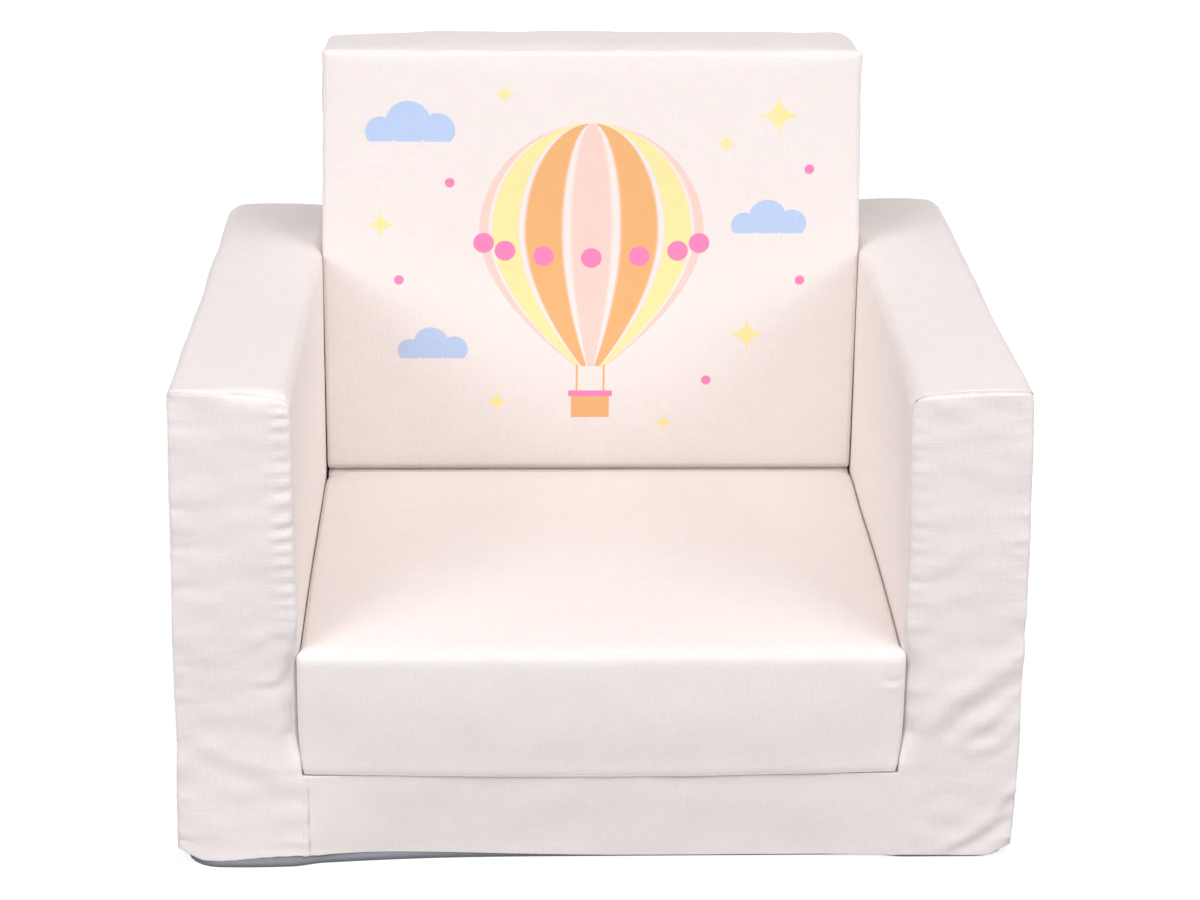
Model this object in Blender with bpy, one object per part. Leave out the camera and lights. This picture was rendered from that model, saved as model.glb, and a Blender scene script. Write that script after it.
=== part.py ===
"""Childrens armchair: a U-shaped foam frame, a seat slab that flips forward and a back slab that folds out.

Metres, +Z up. The chair stands on z = 0, centred on x = 0 and y = 0, and faces -Y.
"""

import math

import bmesh
import bpy

for old_object in list(bpy.data.objects):
    bpy.data.objects.remove(old_object, do_unlink=True)

# Cloth, and the gap that touching pieces keep
CLOTH = 0.001
GAP = 0.0003

# Frame
FRAME_WIDTH = 0.520
FRAME_DEPTH = 0.420
ARM_HEIGHT = 0.3175
ARM_THICKNESS = 0.072
ARM_FLARE = 0.005
ARM_CROWN = 0.0015
ARM_EDGE_RADIUS = 0.006
FRONT_EDGE_RADIUS = 0.003
REAR_CORNER_RADIUS = 0.025
REAR_ROLL_RADIUS = 0.012
LEAST_RADIUS = 0.0002
REAR_WALL_THICKNESS = 0.0601
DECK_HEIGHT = 0.061
DECK_EDGE_RADIUS = 0.005
BOTTOM_SHEET = 0.001

# Seat slab
SEAT_THICKNESS = 0.0925
SEAT_FRONT_SETBACK = 0.0005
SEAT_SIDE_CLEARANCE = 0.0013
SEAT_CROWN = 0.003
SEAT_EDGE_RADIUS = 0.008
SEAT_CORNER_RADIUS = 0.012
SEAT_SIDE_DRAW = 0.0015
SEAT_END_DRAW = 0.0008
SEAT_BAND_BULGE = 0.0006
SEAT_CROWN_REACH = 0.080
SEAT_BELLY_REACH = 0.040

# Back slab
BACK_HEIGHT = 0.3045
BACK_THICKNESS = 0.068
BACK_SIDE_CLEARANCE = 0.0015
BACK_TAPER = 0.003
BACK_CROWN = 0.003
BACK_REAR_CROWN = 0.0015
BACK_EDGE_RADIUS = 0.007
BACK_CORNER_RADIUS = 0.010
BACK_SIDE_DRAW = 0.0012
BACK_END_DRAW = 0.0008
BACK_BAND_BULGE = 0.0006
BACK_CROWN_REACH = 0.080
BACK_CROWN_MARGIN = 0.004

# Hinges: a tucked flap under the seat's front edge, and a tape behind the seat's rear edge
FLIP_AXIS_AHEAD = 0.0015
FLOOR_CLEARANCE = 0.0003
FLAP_CLOTH = 0.0006
FLAP_DEPTH = 0.0175
FLAP_MARGIN = 0.001
FOLD_CLEARANCE = 0.0016
TAPE_REACH = 0.020
HINGE_END_INSET = 0.012

# Zips
ZIP_TAPE_WIDTH = 0.010
ZIP_TAPE = 0.0005
ZIP_COIL_WIDTH = 0.004
ZIP_COIL = 0.001
ZIP_END_INSET = 0.018
FRAME_ZIP_HEIGHT = 0.032
SEAT_ZIP_EDGE_MARGIN = 0.001
BACK_ZIP_BEHIND_TAPE = 0.004
SLIDER_LENGTH = 0.009
SLIDER_WIDTH = 0.006
SLIDER_THICKNESS = 0.0010
SLIDER_FROM_END = 0.012
PULL_LENGTH = 0.016
PULL_THICKNESS = 0.0006
CUTTER_OVERRUN = 0.002

# Facets
CORNER_STEPS = 3
SIDE_STEPS = 4
ARC_STEPS = 2
REAR_CORNER_STEPS = 5
ARM_WALL_STEPS = 2
ARM_TOP_STEPS = 4
ARM_LENGTH_STEPS = 3
BAND_STEPS = 3
STRIP_STEPS = 6
CROWN_RING_SHARES = (0.12, 0.40, 1.0)
SEAM_ANGLE = math.radians(45)

# Places worked out from the sizes above
COVER = CLOTH + GAP
half_width = FRAME_WIDTH / 2
half_depth = FRAME_DEPTH / 2
inner_x = half_width - ARM_THICKNESS
foot_z = BOTTOM_SHEET + GAP
rear_wall_y = half_depth - REAR_WALL_THICKNESS
back_rear_y = rear_wall_y - GAP
fold_y = back_rear_y - BACK_THICKNESS
seat_front_y = -half_depth + SEAT_FRONT_SETBACK
seat_rear_y = fold_y - FOLD_CLEARANCE
seat_depth = seat_rear_y - seat_front_y
seat_bottom_z = DECK_HEIGHT + GAP
seat_top_z = seat_bottom_z + SEAT_THICKNESS
fold_z = seat_top_z
flip_y = -half_depth - FLIP_AXIS_AHEAD
flip_z = (seat_top_z + FLOOR_CLEARANCE) / 2
back_bottom_z = fold_z + FOLD_CLEARANCE
flap_front_y = -half_depth + DECK_EDGE_RADIUS


def material(name, colour, roughness, metallic=0.0):
    made = bpy.data.materials.new(name)
    made.use_nodes = True
    shader = made.node_tree.nodes["Principled BSDF"]
    shader.inputs["Base Color"].default_value = (*colour, 1.0)
    shader.inputs["Roughness"].default_value = roughness
    shader.inputs["Metallic"].default_value = metallic
    return made


COVER_CLOTH = material("cover_cloth", (0.84, 0.78, 0.75), 0.85)
PRINTED_CLOTH = material("printed_cloth", (0.90, 0.76, 0.72), 0.85)
SHEET_CLOTH = material("grey_nonwoven", (0.30, 0.31, 0.33), 0.95)
TAPE_CLOTH = material("hinge_tape", (0.80, 0.73, 0.70), 0.85)
FOAM = material("foam", (0.88, 0.84, 0.68), 0.95)
ZIP_PLASTIC = material("zip_plastic", (0.82, 0.78, 0.75), 0.5)
SLIDER_METAL = material("slider_metal", (0.60, 0.60, 0.62), 0.35, 1.0)

# The two hinge axes, as empties that carry the moving pieces
flip_axis = bpy.data.objects.new("seat_flip_axis", None)
flip_axis.location = (0, flip_y, flip_z)
bpy.context.collection.objects.link(flip_axis)
fold_axis = bpy.data.objects.new("back_fold_axis", None)
fold_axis.parent = flip_axis
fold_axis.location = (0, fold_y - flip_y, fold_z - flip_z)
bpy.context.collection.objects.link(fold_axis)
AXIS_PLACES = {flip_axis: (0, flip_y, flip_z), fold_axis: (0, fold_y, fold_z)}


def add_piece(name, points, faces, finish, carrier=None):
    """One closed body in its own object, on the hinge axis that carries it."""
    origin = AXIS_PLACES.get(carrier, (0, 0, 0))
    mesh = bpy.data.meshes.new(name)
    mesh.from_pydata([[p - o for p, o in zip(point, origin)] for point in points], [], faces)
    shell = bmesh.new()
    shell.from_mesh(mesh)
    bmesh.ops.recalc_face_normals(shell, faces=shell.faces)
    shell.to_mesh(mesh)
    shell.free()
    mesh.shade_smooth()
    mesh.set_sharp_from_angle(angle=math.radians(40))
    mesh.materials.append(finish)
    piece = bpy.data.objects.new(name, mesh)
    piece.parent = carrier
    bpy.context.collection.objects.link(piece)
    return piece


def ring_solid(name, rings, finish, carrier=None, wrap=False):
    """A body through a row of rings of as many points each, capped at both ends or joined into a loop."""
    count = len(rings[0])
    points = [point for ring in rings for point in ring]
    faces = []
    spans = len(rings) if wrap else len(rings) - 1
    for i in range(spans):
        here = i * count
        there = (i + 1) % len(rings) * count
        for j in range(count):
            k = (j + 1) % count
            faces.append((here + j, here + k, there + k, there + j))
    if not wrap:
        faces.append(tuple(range(count)))
        faces.append(tuple(range(len(points) - count, len(points))))
    return add_piece(name, points, faces, finish, carrier)


def cloth_solid(name, outer, inner, finish, carrier=None):
    """A cloth panel between two grids of points, its outer and its inner surface."""
    rows = len(outer)
    columns = len(outer[0])
    points = [point for grid in (outer, inner) for row in grid for point in row]
    below = rows * columns
    faces = []
    for i in range(rows - 1):
        for j in range(columns - 1):
            corner = i * columns + j
            quad = (corner, corner + 1, corner + columns + 1, corner + columns)
            faces.append(quad)
            faces.append(tuple(below + index for index in quad))
    edges = [[j for j in range(columns)], [(rows - 1) * columns + j for j in range(columns)]]
    edges += [[i * columns for i in range(rows)], [i * columns + columns - 1 for i in range(rows)]]
    for edge in edges:
        for a, b in zip(edge, edge[1:]):
            faces.append((a, b, below + b, below + a))
    return add_piece(name, points, faces, finish, carrier)


def prism(name, profile, half_length, finish, carrier=None):
    """A profile of (y, z) points, drawn out along X to both sides of the middle."""
    rings = [[(x, y, z) for y, z in profile] for x in (-half_length, half_length)]
    return ring_solid(name, rings, finish, carrier)


def plate(name, outline, y, finish):
    """A flat panel of cloth with an (x, z) outline, whose front face is at y."""
    rings = [[(x, depth, z) for x, z in outline] for depth in (y, y + CLOTH)]
    return ring_solid(name, rings, finish)


def steps(first, last, count):
    return [first + (last - first) * k / count for k in range(count + 1)]


def quarter(centre, radius, first, last, count=ARC_STEPS):
    """Points of an arc, its angles counted from +first axis to +second axis, in degrees."""
    turns = [math.radians(angle) for angle in steps(first, last, count)]
    return [(centre[0] + radius * math.cos(t), centre[1] + radius * math.sin(t)) for t in turns]


def arm_stations(offset):
    """Places along an arm from front to rear: y, inner wall's y, end inset, outer x and top height."""
    stations = []
    for angle in steps(90, 0, ARC_STEPS):
        turn = math.radians(angle)
        reach = FRONT_EDGE_RADIUS - offset
        y = -half_depth + FRONT_EDGE_RADIUS - reach * math.sin(turn)
        inset = FRONT_EDGE_RADIUS - reach * math.cos(turn)
        stations.append((y, y, inset, half_width - inset, ARM_HEIGHT - inset))
    front_y = -half_depth + FRONT_EDGE_RADIUS
    corner_y = half_depth - REAR_CORNER_RADIUS
    for y in steps(front_y, corner_y, ARM_LENGTH_STEPS)[1:-1]:
        stations.append((y, y, offset, half_width - offset, ARM_HEIGHT - offset))
    for angle in steps(0, 90, REAR_CORNER_STEPS):
        turn = math.radians(angle)
        reach = REAR_CORNER_RADIUS - offset
        y = corner_y + reach * math.sin(turn)
        wall_y = corner_y + (REAR_CORNER_RADIUS - COVER) * math.sin(turn)
        outer = half_width - REAR_CORNER_RADIUS + reach * math.cos(turn)
        stations.append((y, wall_y, offset, outer, rolled_top(y, offset)))
    return stations


def rolled_top(y, offset):
    """Height of the frame's top at y, where it rolls off towards the rear face."""
    over = y - (half_depth - REAR_ROLL_RADIUS)
    if over <= 0:
        return ARM_HEIGHT - offset
    reach = REAR_ROLL_RADIUS - offset
    return ARM_HEIGHT - REAR_ROLL_RADIUS + math.sqrt(max(reach * reach - over * over, 0))


def arm_section(station, inner_foot):
    """(x, y, z) points over the right arm, from its outer foot over its top to its inner foot."""
    y, wall_y, inset, outer, top = station
    inner = inner_x + inset
    roll_share = min(1, max(0, (top - ARM_HEIGHT + REAR_ROLL_RADIUS) / (REAR_ROLL_RADIUS - inset)))
    radius = LEAST_RADIUS + (ARM_EDGE_RADIUS - LEAST_RADIUS - inset) * roll_share
    path = [(outer, z) for z in steps(foot_z, top - radius, ARM_WALL_STEPS)[:-1]]
    path += quarter((outer - radius, top - radius), radius, 0, 90)
    left, right = inner + radius, outer - radius
    for share in steps(0, 1, ARM_TOP_STEPS)[1:-1]:
        crown = ARM_CROWN * roll_share * 4 * share * (1 - share)
        path.append((right + (left - right) * share, top + crown))
    path = [(x, y, z) for x, z in path]
    path += [(x, wall_y, z) for x, z in quarter((left, top - radius), radius, 90, 180)]
    path.append((inner, wall_y, inner_foot))
    middle = (inner + outer) / 2
    return [(x + ARM_FLARE * (1 - z / ARM_HEIGHT) * (x > middle), at_y, z) for x, at_y, z in path]


def mirrored(points, side):
    return [(side * x, y, z) for x, y, z in points]


def build_arm(word, side):
    foam = [mirrored(arm_section(s, foot_z), side) for s in arm_stations(COVER)]
    ring_solid(f"{word}_arm_foam", foam, FOAM)
    outer = [mirrored(arm_section(s, DECK_HEIGHT + GAP), side) for s in arm_stations(0)]
    inner = [mirrored(arm_section(s, DECK_HEIGHT + GAP), side) for s in arm_stations(CLOTH)]
    cloth_solid(f"{word}_arm_cover", outer, inner, COVER_CLOTH)
    inset = FRONT_EDGE_RADIUS + GAP
    end_station = (-half_depth, -half_depth, inset, half_width - inset, ARM_HEIGHT - inset)
    outline = [(x, z) for x, y, z in mirrored(arm_section(end_station, DECK_HEIGHT), side)]
    seam_x = side * (inner_x + GAP / 2)
    outline += [(seam_x, DECK_HEIGHT), (seam_x, foot_z)]
    plate(f"{word}_arm_front_panel", outline, -half_depth, COVER_CLOTH)


def build_base():
    foam_front = -half_depth + COVER
    foam_rear = rear_wall_y + CLOTH
    foam_top = DECK_HEIGHT - COVER
    radius = DECK_EDGE_RADIUS - COVER
    profile = [(foam_rear, foot_z), (foam_rear, foam_top)]
    profile += quarter((foam_front + radius, foam_top - radius), radius, 90, 180)
    profile += [(foam_front, foot_z)]
    prism("base_foam", profile, inner_x + CLOTH, FOAM)
    panel_half = inner_x - GAP / 2
    panel_top = DECK_HEIGHT - DECK_EDGE_RADIUS - GAP
    outline = [(-panel_half, foot_z), (panel_half, foot_z), (panel_half, panel_top), (-panel_half, panel_top)]
    plate("base_front_panel", outline, -half_depth, COVER_CLOTH)
    centre = (-half_depth + DECK_EDGE_RADIUS, DECK_HEIGHT - DECK_EDGE_RADIUS)
    deck = quarter(centre, DECK_EDGE_RADIUS, 180, 90) + [(foam_rear, DECK_HEIGHT)]
    under = quarter(centre, DECK_EDGE_RADIUS - CLOTH, 180, 90) + [(foam_rear, DECK_HEIGHT - CLOTH)]
    prism("base_top_panel", deck + under[::-1], panel_half, COVER_CLOTH)


def rear_wall_profile(offset, front_foot):
    """(y, z) points from the rear wall's front foot over its top to where the rear panel starts."""
    front = rear_wall_y + offset
    radius = ARM_EDGE_RADIUS - offset
    roll = REAR_ROLL_RADIUS - offset
    path = [(front, front_foot)]
    path += quarter((front + radius, ARM_HEIGHT - offset - radius), radius, 180, 90)
    roll_centre = (half_depth - REAR_ROLL_RADIUS, ARM_HEIGHT - REAR_ROLL_RADIUS)
    path += quarter(roll_centre, roll, 90, 0, REAR_CORNER_STEPS)
    return path


def build_rear_wall():
    wall_half = inner_x - GAP
    foam = rear_wall_profile(COVER, foot_z) + [(half_depth - COVER, foot_z)]
    prism("rear_wall_foam", foam, wall_half, FOAM)
    outer = rear_wall_profile(0, DECK_HEIGHT + GAP)
    inner = rear_wall_profile(CLOTH, DECK_HEIGHT + GAP)
    prism("rear_wall_cover", outer + inner[::-1], wall_half, COVER_CLOTH)
    panel_half = half_width - REAR_CORNER_RADIUS - GAP
    panel_top = ARM_HEIGHT - REAR_ROLL_RADIUS - GAP
    outline = [(-panel_half, foot_z), (panel_half, foot_z), (panel_half, panel_top), (-panel_half, panel_top)]
    panel = plate("frame_back_panel", outline, half_depth - CLOTH, COVER_CLOTH)
    slot_half = frame_zip_half + GAP
    low = FRAME_ZIP_HEIGHT - ZIP_TAPE_WIDTH / 2 - GAP
    high = FRAME_ZIP_HEIGHT + ZIP_TAPE_WIDTH / 2 + GAP
    near = half_depth - CLOTH - CUTTER_OVERRUN
    far = half_depth + CUTTER_OVERRUN
    cutter = prism("zip_slot_cutter", [(near, low), (far, low), (far, high), (near, high)], slot_half, COVER_CLOTH)
    cutter.hide_render = True
    cutter.display_type = "WIRE"
    cut = panel.modifiers.new("zip_slot", "BOOLEAN")
    cut.operation = "DIFFERENCE"
    cut.object = cutter


def build_bottom_panel():
    front = -half_depth
    wide = half_width + ARM_FLARE
    corner = (wide - REAR_CORNER_RADIUS, half_depth - REAR_CORNER_RADIUS)
    right = [(wide, front)] + quarter(corner, REAR_CORNER_RADIUS, 0, 90, REAR_CORNER_STEPS)
    outline = right + [(-x, y) for x, y in right[::-1]]
    rings = [[(x, y, z) for x, y in outline] for z in (0, BOTTOM_SHEET)]
    ring_solid("bottom_panel", rings, SHEET_CLOTH)


class Slab:
    """A boxed cushion. u runs across it, v along it and w through it, to the face that shows."""

    def __init__(self, half_u, half_v, half_w, place, carrier, **shape):
        self.half_u = half_u
        self.half_v = half_v
        self.half_w = half_w
        self.place = place
        self.carrier = carrier
        self.edge_radius = shape["edge_radius"]
        self.corner_radius = shape["corner_radius"]
        self.crown = {1: shape["crown"], -1: shape["under_crown"]}
        self.margin = {1: shape["margin"], -1: shape["under_margin"]}
        self.reach = {1: shape["reach"], -1: shape["under_reach"]}
        self.side_draw = shape["side_draw"]
        self.end_draw = shape["end_draw"]
        self.bulge = shape["bulge"]
        self.taper = shape["taper"]

    def point(self, u, v, w):
        """A point of the slab in the chair's frame, with the sides drawn in between the corners."""
        u_share = u / self.half_u
        v_share = v / self.half_v
        narrowing = self.side_draw * (1 - v_share**2) + self.taper * (1 + v_share) / 2
        shortening = self.end_draw * (1 - u_share**2)
        return self.place(u - narrowing * u_share, v - shortening * v_share, w)

    def ring(self, inset, w):
        """The slab's outline at height w, in from its sides by inset."""
        radius = self.corner_radius
        reach_u = self.half_u - inset - radius
        reach_v = self.half_v - inset - radius
        outline = []
        for sign_u, sign_v, start in ((1, 1, 0), (-1, 1, 90), (-1, -1, 180), (1, -1, 270)):
            centre = (sign_u * reach_u, sign_v * reach_v)
            outline += quarter(centre, radius, start, start + 90, CORNER_STEPS)
        whole = []
        corner_points = CORNER_STEPS + 1
        for index, here in enumerate(outline):
            whole.append(here)
            if (index + 1) % corner_points == 0:
                there = outline[(index + 1) % len(outline)]
                us = steps(here[0], there[0], SIDE_STEPS)[1:-1]
                vs = steps(here[1], there[1], SIDE_STEPS)[1:-1]
                whole += list(zip(us, vs))
        return [self.point(u, v, w) for u, v in whole]

    def edge_plane(self, side):
        return self.half_w - self.crown[side]

    def arc_ring(self, side, angle, offset):
        """A ring on the rounded edge, its angle counted from the face to the band."""
        reach = self.edge_radius - offset
        inset = self.edge_radius - reach * math.sin(angle)
        w = self.edge_plane(side) - self.edge_radius + reach * math.cos(angle)
        return self.ring(inset, side * w)

    def face_ring(self, side, share, offset):
        """A ring on the crowned face, at a share of the crown's reach in from its margin."""
        inset = self.edge_radius + self.margin[side] + self.reach[side] * share
        w = self.edge_plane(side) + self.crown[side] * math.sin(share * math.pi / 2) - offset
        return self.ring(inset, side * w)

    def face_rings(self, side, offset, last_angle):
        rings = [self.face_ring(side, share, offset) for share in CROWN_RING_SHARES[::-1]]
        return rings + [self.arc_ring(side, angle, offset) for angle in steps(0, last_angle, 1)]

    def band_inset(self, w, offset):
        top = self.edge_plane(1) - self.edge_radius
        low = -self.edge_plane(-1) + self.edge_radius
        share = (w - low) / (top - low)
        return offset - self.bulge * 4 * share * (1 - share)

    def band_rings(self, offset, first_angle):
        quarter_turn = math.pi / 2
        top = self.edge_plane(1) - self.edge_radius
        low = -self.edge_plane(-1) + self.edge_radius
        rings = [self.arc_ring(1, first_angle, offset)]
        rings += [self.ring(self.band_inset(w, offset), w) for w in steps(top, low, BAND_STEPS)]
        rings += [self.arc_ring(-1, first_angle, offset)]
        return rings

    def foam_rings(self):
        rings = [self.face_ring(1, share, COVER) for share in CROWN_RING_SHARES[::-1]]
        rings += [self.arc_ring(1, angle, COVER) for angle in (0, math.pi / 2)]
        rings += [self.arc_ring(-1, angle, COVER) for angle in (math.pi / 2, 0)]
        rings += [self.face_ring(-1, share, COVER) for share in CROWN_RING_SHARES]
        return rings

    def end_place(self, end):
        """Places on the band at one end: along it, across it, and out of it."""
        return lambda along, across, out: self.point(
            along, end * (self.half_v - self.band_inset(across, -out)), across
        )


def build_slab(slab, word, face_word, under_word, face_finish):
    half_seam = GAP / 2 / (slab.edge_radius - CLOTH)
    face_end = SEAM_ANGLE - half_seam
    band_start = SEAM_ANGLE + half_seam
    ring_solid(f"{word}_foam", slab.foam_rings(), FOAM, slab.carrier)
    for side, panel_word, finish in ((1, face_word, face_finish), (-1, under_word, COVER_CLOTH)):
        rings = slab.face_rings(side, 0, face_end) + slab.face_rings(side, CLOTH, face_end)[::-1]
        ring_solid(f"{word}_{panel_word}_panel", rings, finish, slab.carrier)
    band = slab.band_rings(0, band_start) + slab.band_rings(CLOTH, band_start)[::-1]
    ring_solid(f"{word}_side_band", band, COVER_CLOTH, slab.carrier, wrap=True)


def strip(name, place, profile, half_length, finish, carrier=None):
    """A long strip with an (across, out) profile, laid along a surface."""
    runs = steps(-half_length, half_length, STRIP_STEPS)
    rings = [[place(along, across, out) for across, out in profile] for along in runs]
    return ring_solid(name, rings, finish, carrier)


def build_zip(word, place, centre, base, half_length, carrier=None):
    """A zip's tape with its coil, and its slider with the pull, on a surface. base is the tape's underside."""
    tape = base + ZIP_TAPE
    coil = base + ZIP_COIL
    half_tape = ZIP_TAPE_WIDTH / 2
    half_coil = ZIP_COIL_WIDTH / 2
    right = [(half_tape, base), (half_tape, tape), (half_coil, tape), (half_coil, coil)]
    profile = right + [(-across, out) for across, out in right[::-1]]
    profile = [(centre + across, out) for across, out in profile]
    strip(f"{word}_zip", place, profile, half_length, ZIP_PLASTIC, carrier)
    under = coil + GAP
    over = under + SLIDER_THICKNESS
    pull_under = over - PULL_THICKNESS
    start = -half_length + SLIDER_FROM_END
    middle = start + SLIDER_LENGTH
    end = middle + PULL_LENGTH
    side_view = [(start, under), (middle, under), (middle, pull_under), (end, pull_under), (end, over), (start, over)]
    rims = (centre - SLIDER_WIDTH / 2, centre + SLIDER_WIDTH / 2)
    rings = [[place(along, across, out) for along, out in side_view] for across in rims]
    ring_solid(f"{word}_zip_slider", rings, SLIDER_METAL, carrier)


def build_flip_flap(seat_half):
    """The tucked flap's two layers, between the deck and the seat's front margin."""
    flap_half = seat_half - HINGE_END_INSET
    rear_y = flap_front_y + FLAP_DEPTH
    lower = DECK_HEIGHT + GAP
    upper = lower + FLAP_CLOTH + GAP
    for word, z, carrier in (("lower", lower, None), ("upper", upper, flip_axis)):
        top = z + FLAP_CLOTH
        profile = [(flap_front_y, z), (rear_y, z), (rear_y, top), (flap_front_y, top)]
        prism(f"flip_flap_{word}", profile, flap_half, TAPE_CLOTH, carrier)


def build_fold_tape(word, slab, end, half_length):
    """One half of the fold's tape, on the band's end face next to the face that shows."""
    near = slab.half_w
    far = near - TAPE_REACH
    profile = [(far, GAP), (near, GAP), (near, GAP + FLAP_CLOTH), (far, GAP + FLAP_CLOTH)]
    strip(f"fold_tape_{word}", slab.end_place(end), profile, half_length, TAPE_CLOTH, slab.carrier)


seat_half_u = inner_x - SEAT_SIDE_CLEARANCE
seat_half_v = seat_depth / 2
seat_half_w = SEAT_THICKNESS / 2
back_half_u = inner_x - BACK_SIDE_CLEARANCE
back_half_v = BACK_HEIGHT / 2
back_half_w = BACK_THICKNESS / 2
frame_zip_half = inner_x - ZIP_END_INSET


def seat_place(u, v, w):
    return (u, seat_front_y + seat_half_v + v, seat_bottom_z + seat_half_w + w)


def back_place(u, v, w):
    return (u, fold_y + back_half_w - w, back_bottom_z + back_half_v + v)


def frame_zip_place(along, across, out):
    return (along, half_depth + out, FRAME_ZIP_HEIGHT + across)


seat = Slab(
    seat_half_u,
    seat_half_v,
    seat_half_w,
    seat_place,
    flip_axis,
    edge_radius=SEAT_EDGE_RADIUS,
    corner_radius=SEAT_CORNER_RADIUS,
    crown=SEAT_CROWN,
    under_crown=2 * (FLAP_CLOTH + GAP),
    margin=0,
    under_margin=max(0, DECK_EDGE_RADIUS + FLAP_DEPTH + FLAP_MARGIN - SEAT_EDGE_RADIUS),
    reach=SEAT_CROWN_REACH,
    under_reach=SEAT_BELLY_REACH,
    side_draw=SEAT_SIDE_DRAW,
    end_draw=SEAT_END_DRAW,
    bulge=SEAT_BAND_BULGE,
    taper=0,
)
back = Slab(
    back_half_u,
    back_half_v,
    back_half_w,
    back_place,
    fold_axis,
    edge_radius=BACK_EDGE_RADIUS,
    corner_radius=BACK_CORNER_RADIUS,
    crown=BACK_CROWN,
    under_crown=BACK_REAR_CROWN,
    margin=BACK_CROWN_MARGIN,
    under_margin=BACK_CROWN_MARGIN,
    reach=BACK_CROWN_REACH,
    under_reach=BACK_CROWN_REACH,
    side_draw=BACK_SIDE_DRAW,
    end_draw=BACK_END_DRAW,
    bulge=BACK_BAND_BULGE,
    taper=BACK_TAPER,
)

for arm_word, arm_side in (("left", -1), ("right", 1)):
    build_arm(arm_word, arm_side)
build_base()
build_rear_wall()
build_bottom_panel()
build_zip("frame", frame_zip_place, 0, -CLOTH, frame_zip_half)

build_slab(seat, "seat", "top", "bottom", COVER_CLOTH)
build_slab(back, "back", "front", "rear", PRINTED_CLOTH)
build_flip_flap(seat_half_u)

# The seat's zip lies low on its rear end, where the back slab never covers it
seat_zip_centre = -seat.edge_plane(-1) + seat.edge_radius + ZIP_TAPE_WIDTH / 2 + SEAT_ZIP_EDGE_MARGIN
build_zip("seat", seat.end_place(1), seat_zip_centre, GAP, seat_half_u - ZIP_END_INSET, flip_axis)
build_fold_tape("seat", seat, 1, seat_half_u - HINGE_END_INSET)

# The back slab's zip lies on its lower end, behind the tape
back_zip_centre = back_half_w - TAPE_REACH - BACK_ZIP_BEHIND_TAPE - ZIP_TAPE_WIDTH / 2
build_zip("back", back.end_place(-1), back_zip_centre, GAP, back_half_u - ZIP_END_INSET, fold_axis)
build_fold_tape("back", back, -1, back_half_u - HINGE_END_INSET)
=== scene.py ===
import math
from contextlib import contextmanager

import bmesh
import bpy
import numpy as np
from mathutils import Matrix, Vector, noise
from mathutils.bvhtree import BVHTree


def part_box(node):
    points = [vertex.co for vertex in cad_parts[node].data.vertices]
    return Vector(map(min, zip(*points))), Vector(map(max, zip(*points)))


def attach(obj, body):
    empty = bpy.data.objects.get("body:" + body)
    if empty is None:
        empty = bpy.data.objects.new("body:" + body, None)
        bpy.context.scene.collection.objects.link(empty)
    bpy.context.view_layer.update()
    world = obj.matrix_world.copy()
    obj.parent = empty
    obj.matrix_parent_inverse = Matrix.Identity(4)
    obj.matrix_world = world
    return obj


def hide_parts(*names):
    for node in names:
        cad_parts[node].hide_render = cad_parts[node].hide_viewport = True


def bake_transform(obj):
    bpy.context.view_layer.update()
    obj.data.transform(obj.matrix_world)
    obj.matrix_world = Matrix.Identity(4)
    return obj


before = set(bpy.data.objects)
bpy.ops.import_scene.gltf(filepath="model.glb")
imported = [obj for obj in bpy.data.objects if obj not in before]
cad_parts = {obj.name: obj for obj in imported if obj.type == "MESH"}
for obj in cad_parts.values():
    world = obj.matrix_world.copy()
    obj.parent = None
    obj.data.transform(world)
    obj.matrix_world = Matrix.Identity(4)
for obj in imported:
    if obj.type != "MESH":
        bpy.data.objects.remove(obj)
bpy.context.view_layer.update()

# Camera
# A long lens, a little left of the chair's middle and well above it, looking down on the seat.
EYE_PLACE = Vector((-0.0583, -1.8048, 0.8865))
LOOK_DOWN = 0.3629
LOOK_RIGHT = 0.0349
HEAD_TILT = 0.0110
LENS_MM = 84.75


def put(name, data):
    """A new object in the scene."""
    item = bpy.data.objects.new(name, data)
    bpy.context.scene.collection.objects.link(item)
    return item


towards = Vector((math.sin(LOOK_RIGHT), math.cos(LOOK_RIGHT), 0))
ahead = towards * math.cos(LOOK_DOWN) - Vector((0, 0, math.sin(LOOK_DOWN)))
level = Vector((math.cos(LOOK_RIGHT), -math.sin(LOOK_RIGHT), 0))
plumb = level.cross(ahead)
eye_right = level * math.cos(HEAD_TILT) + plumb * math.sin(HEAD_TILT)
eye_up = plumb * math.cos(HEAD_TILT) - level * math.sin(HEAD_TILT)
camera_data = bpy.data.cameras.new("camera")
camera_data.lens = LENS_MM
camera = put("camera", camera_data)
eye_turn = Matrix((eye_right, eye_up, -ahead)).transposed().to_4x4()
camera.matrix_world = Matrix.Translation(EYE_PLACE) @ eye_turn
bpy.context.scene.camera = camera

# Studio
# A plain white floor and a white surround. Soft boxes stand at the front corners and at the sides, one
# hangs above, and a low one lights the rear.
ROOM_LIGHT = 0.18
COOL = (0.905, 0.94, 0.99)
WARM = (1.0, 0.95, 0.965)
SOFT_BOXES = {
    "front_left": ((-2.2, -2.4, 2.0), (1.8, 1.8), 66, COOL),
    "front_right": ((2.2, -2.4, 2.0), (1.8, 1.8), 51, COOL),
    "left": ((-2.6, -0.9, 1.7), (1.6, 1.6), 5, COOL),
    "right": ((2.6, -0.9, 1.7), (1.6, 1.6), 16, COOL),
    "overhead": ((0.0, -1.5, 3.1), (2.6, 1.8), 44, WARM),
    "rear": ((0.0, 3.0, 0.3), (2.6, 0.5), 60, COOL),
}
AIM_HEIGHT = 0.15
bpy.context.scene.view_settings.view_transform = "Standard"


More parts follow.
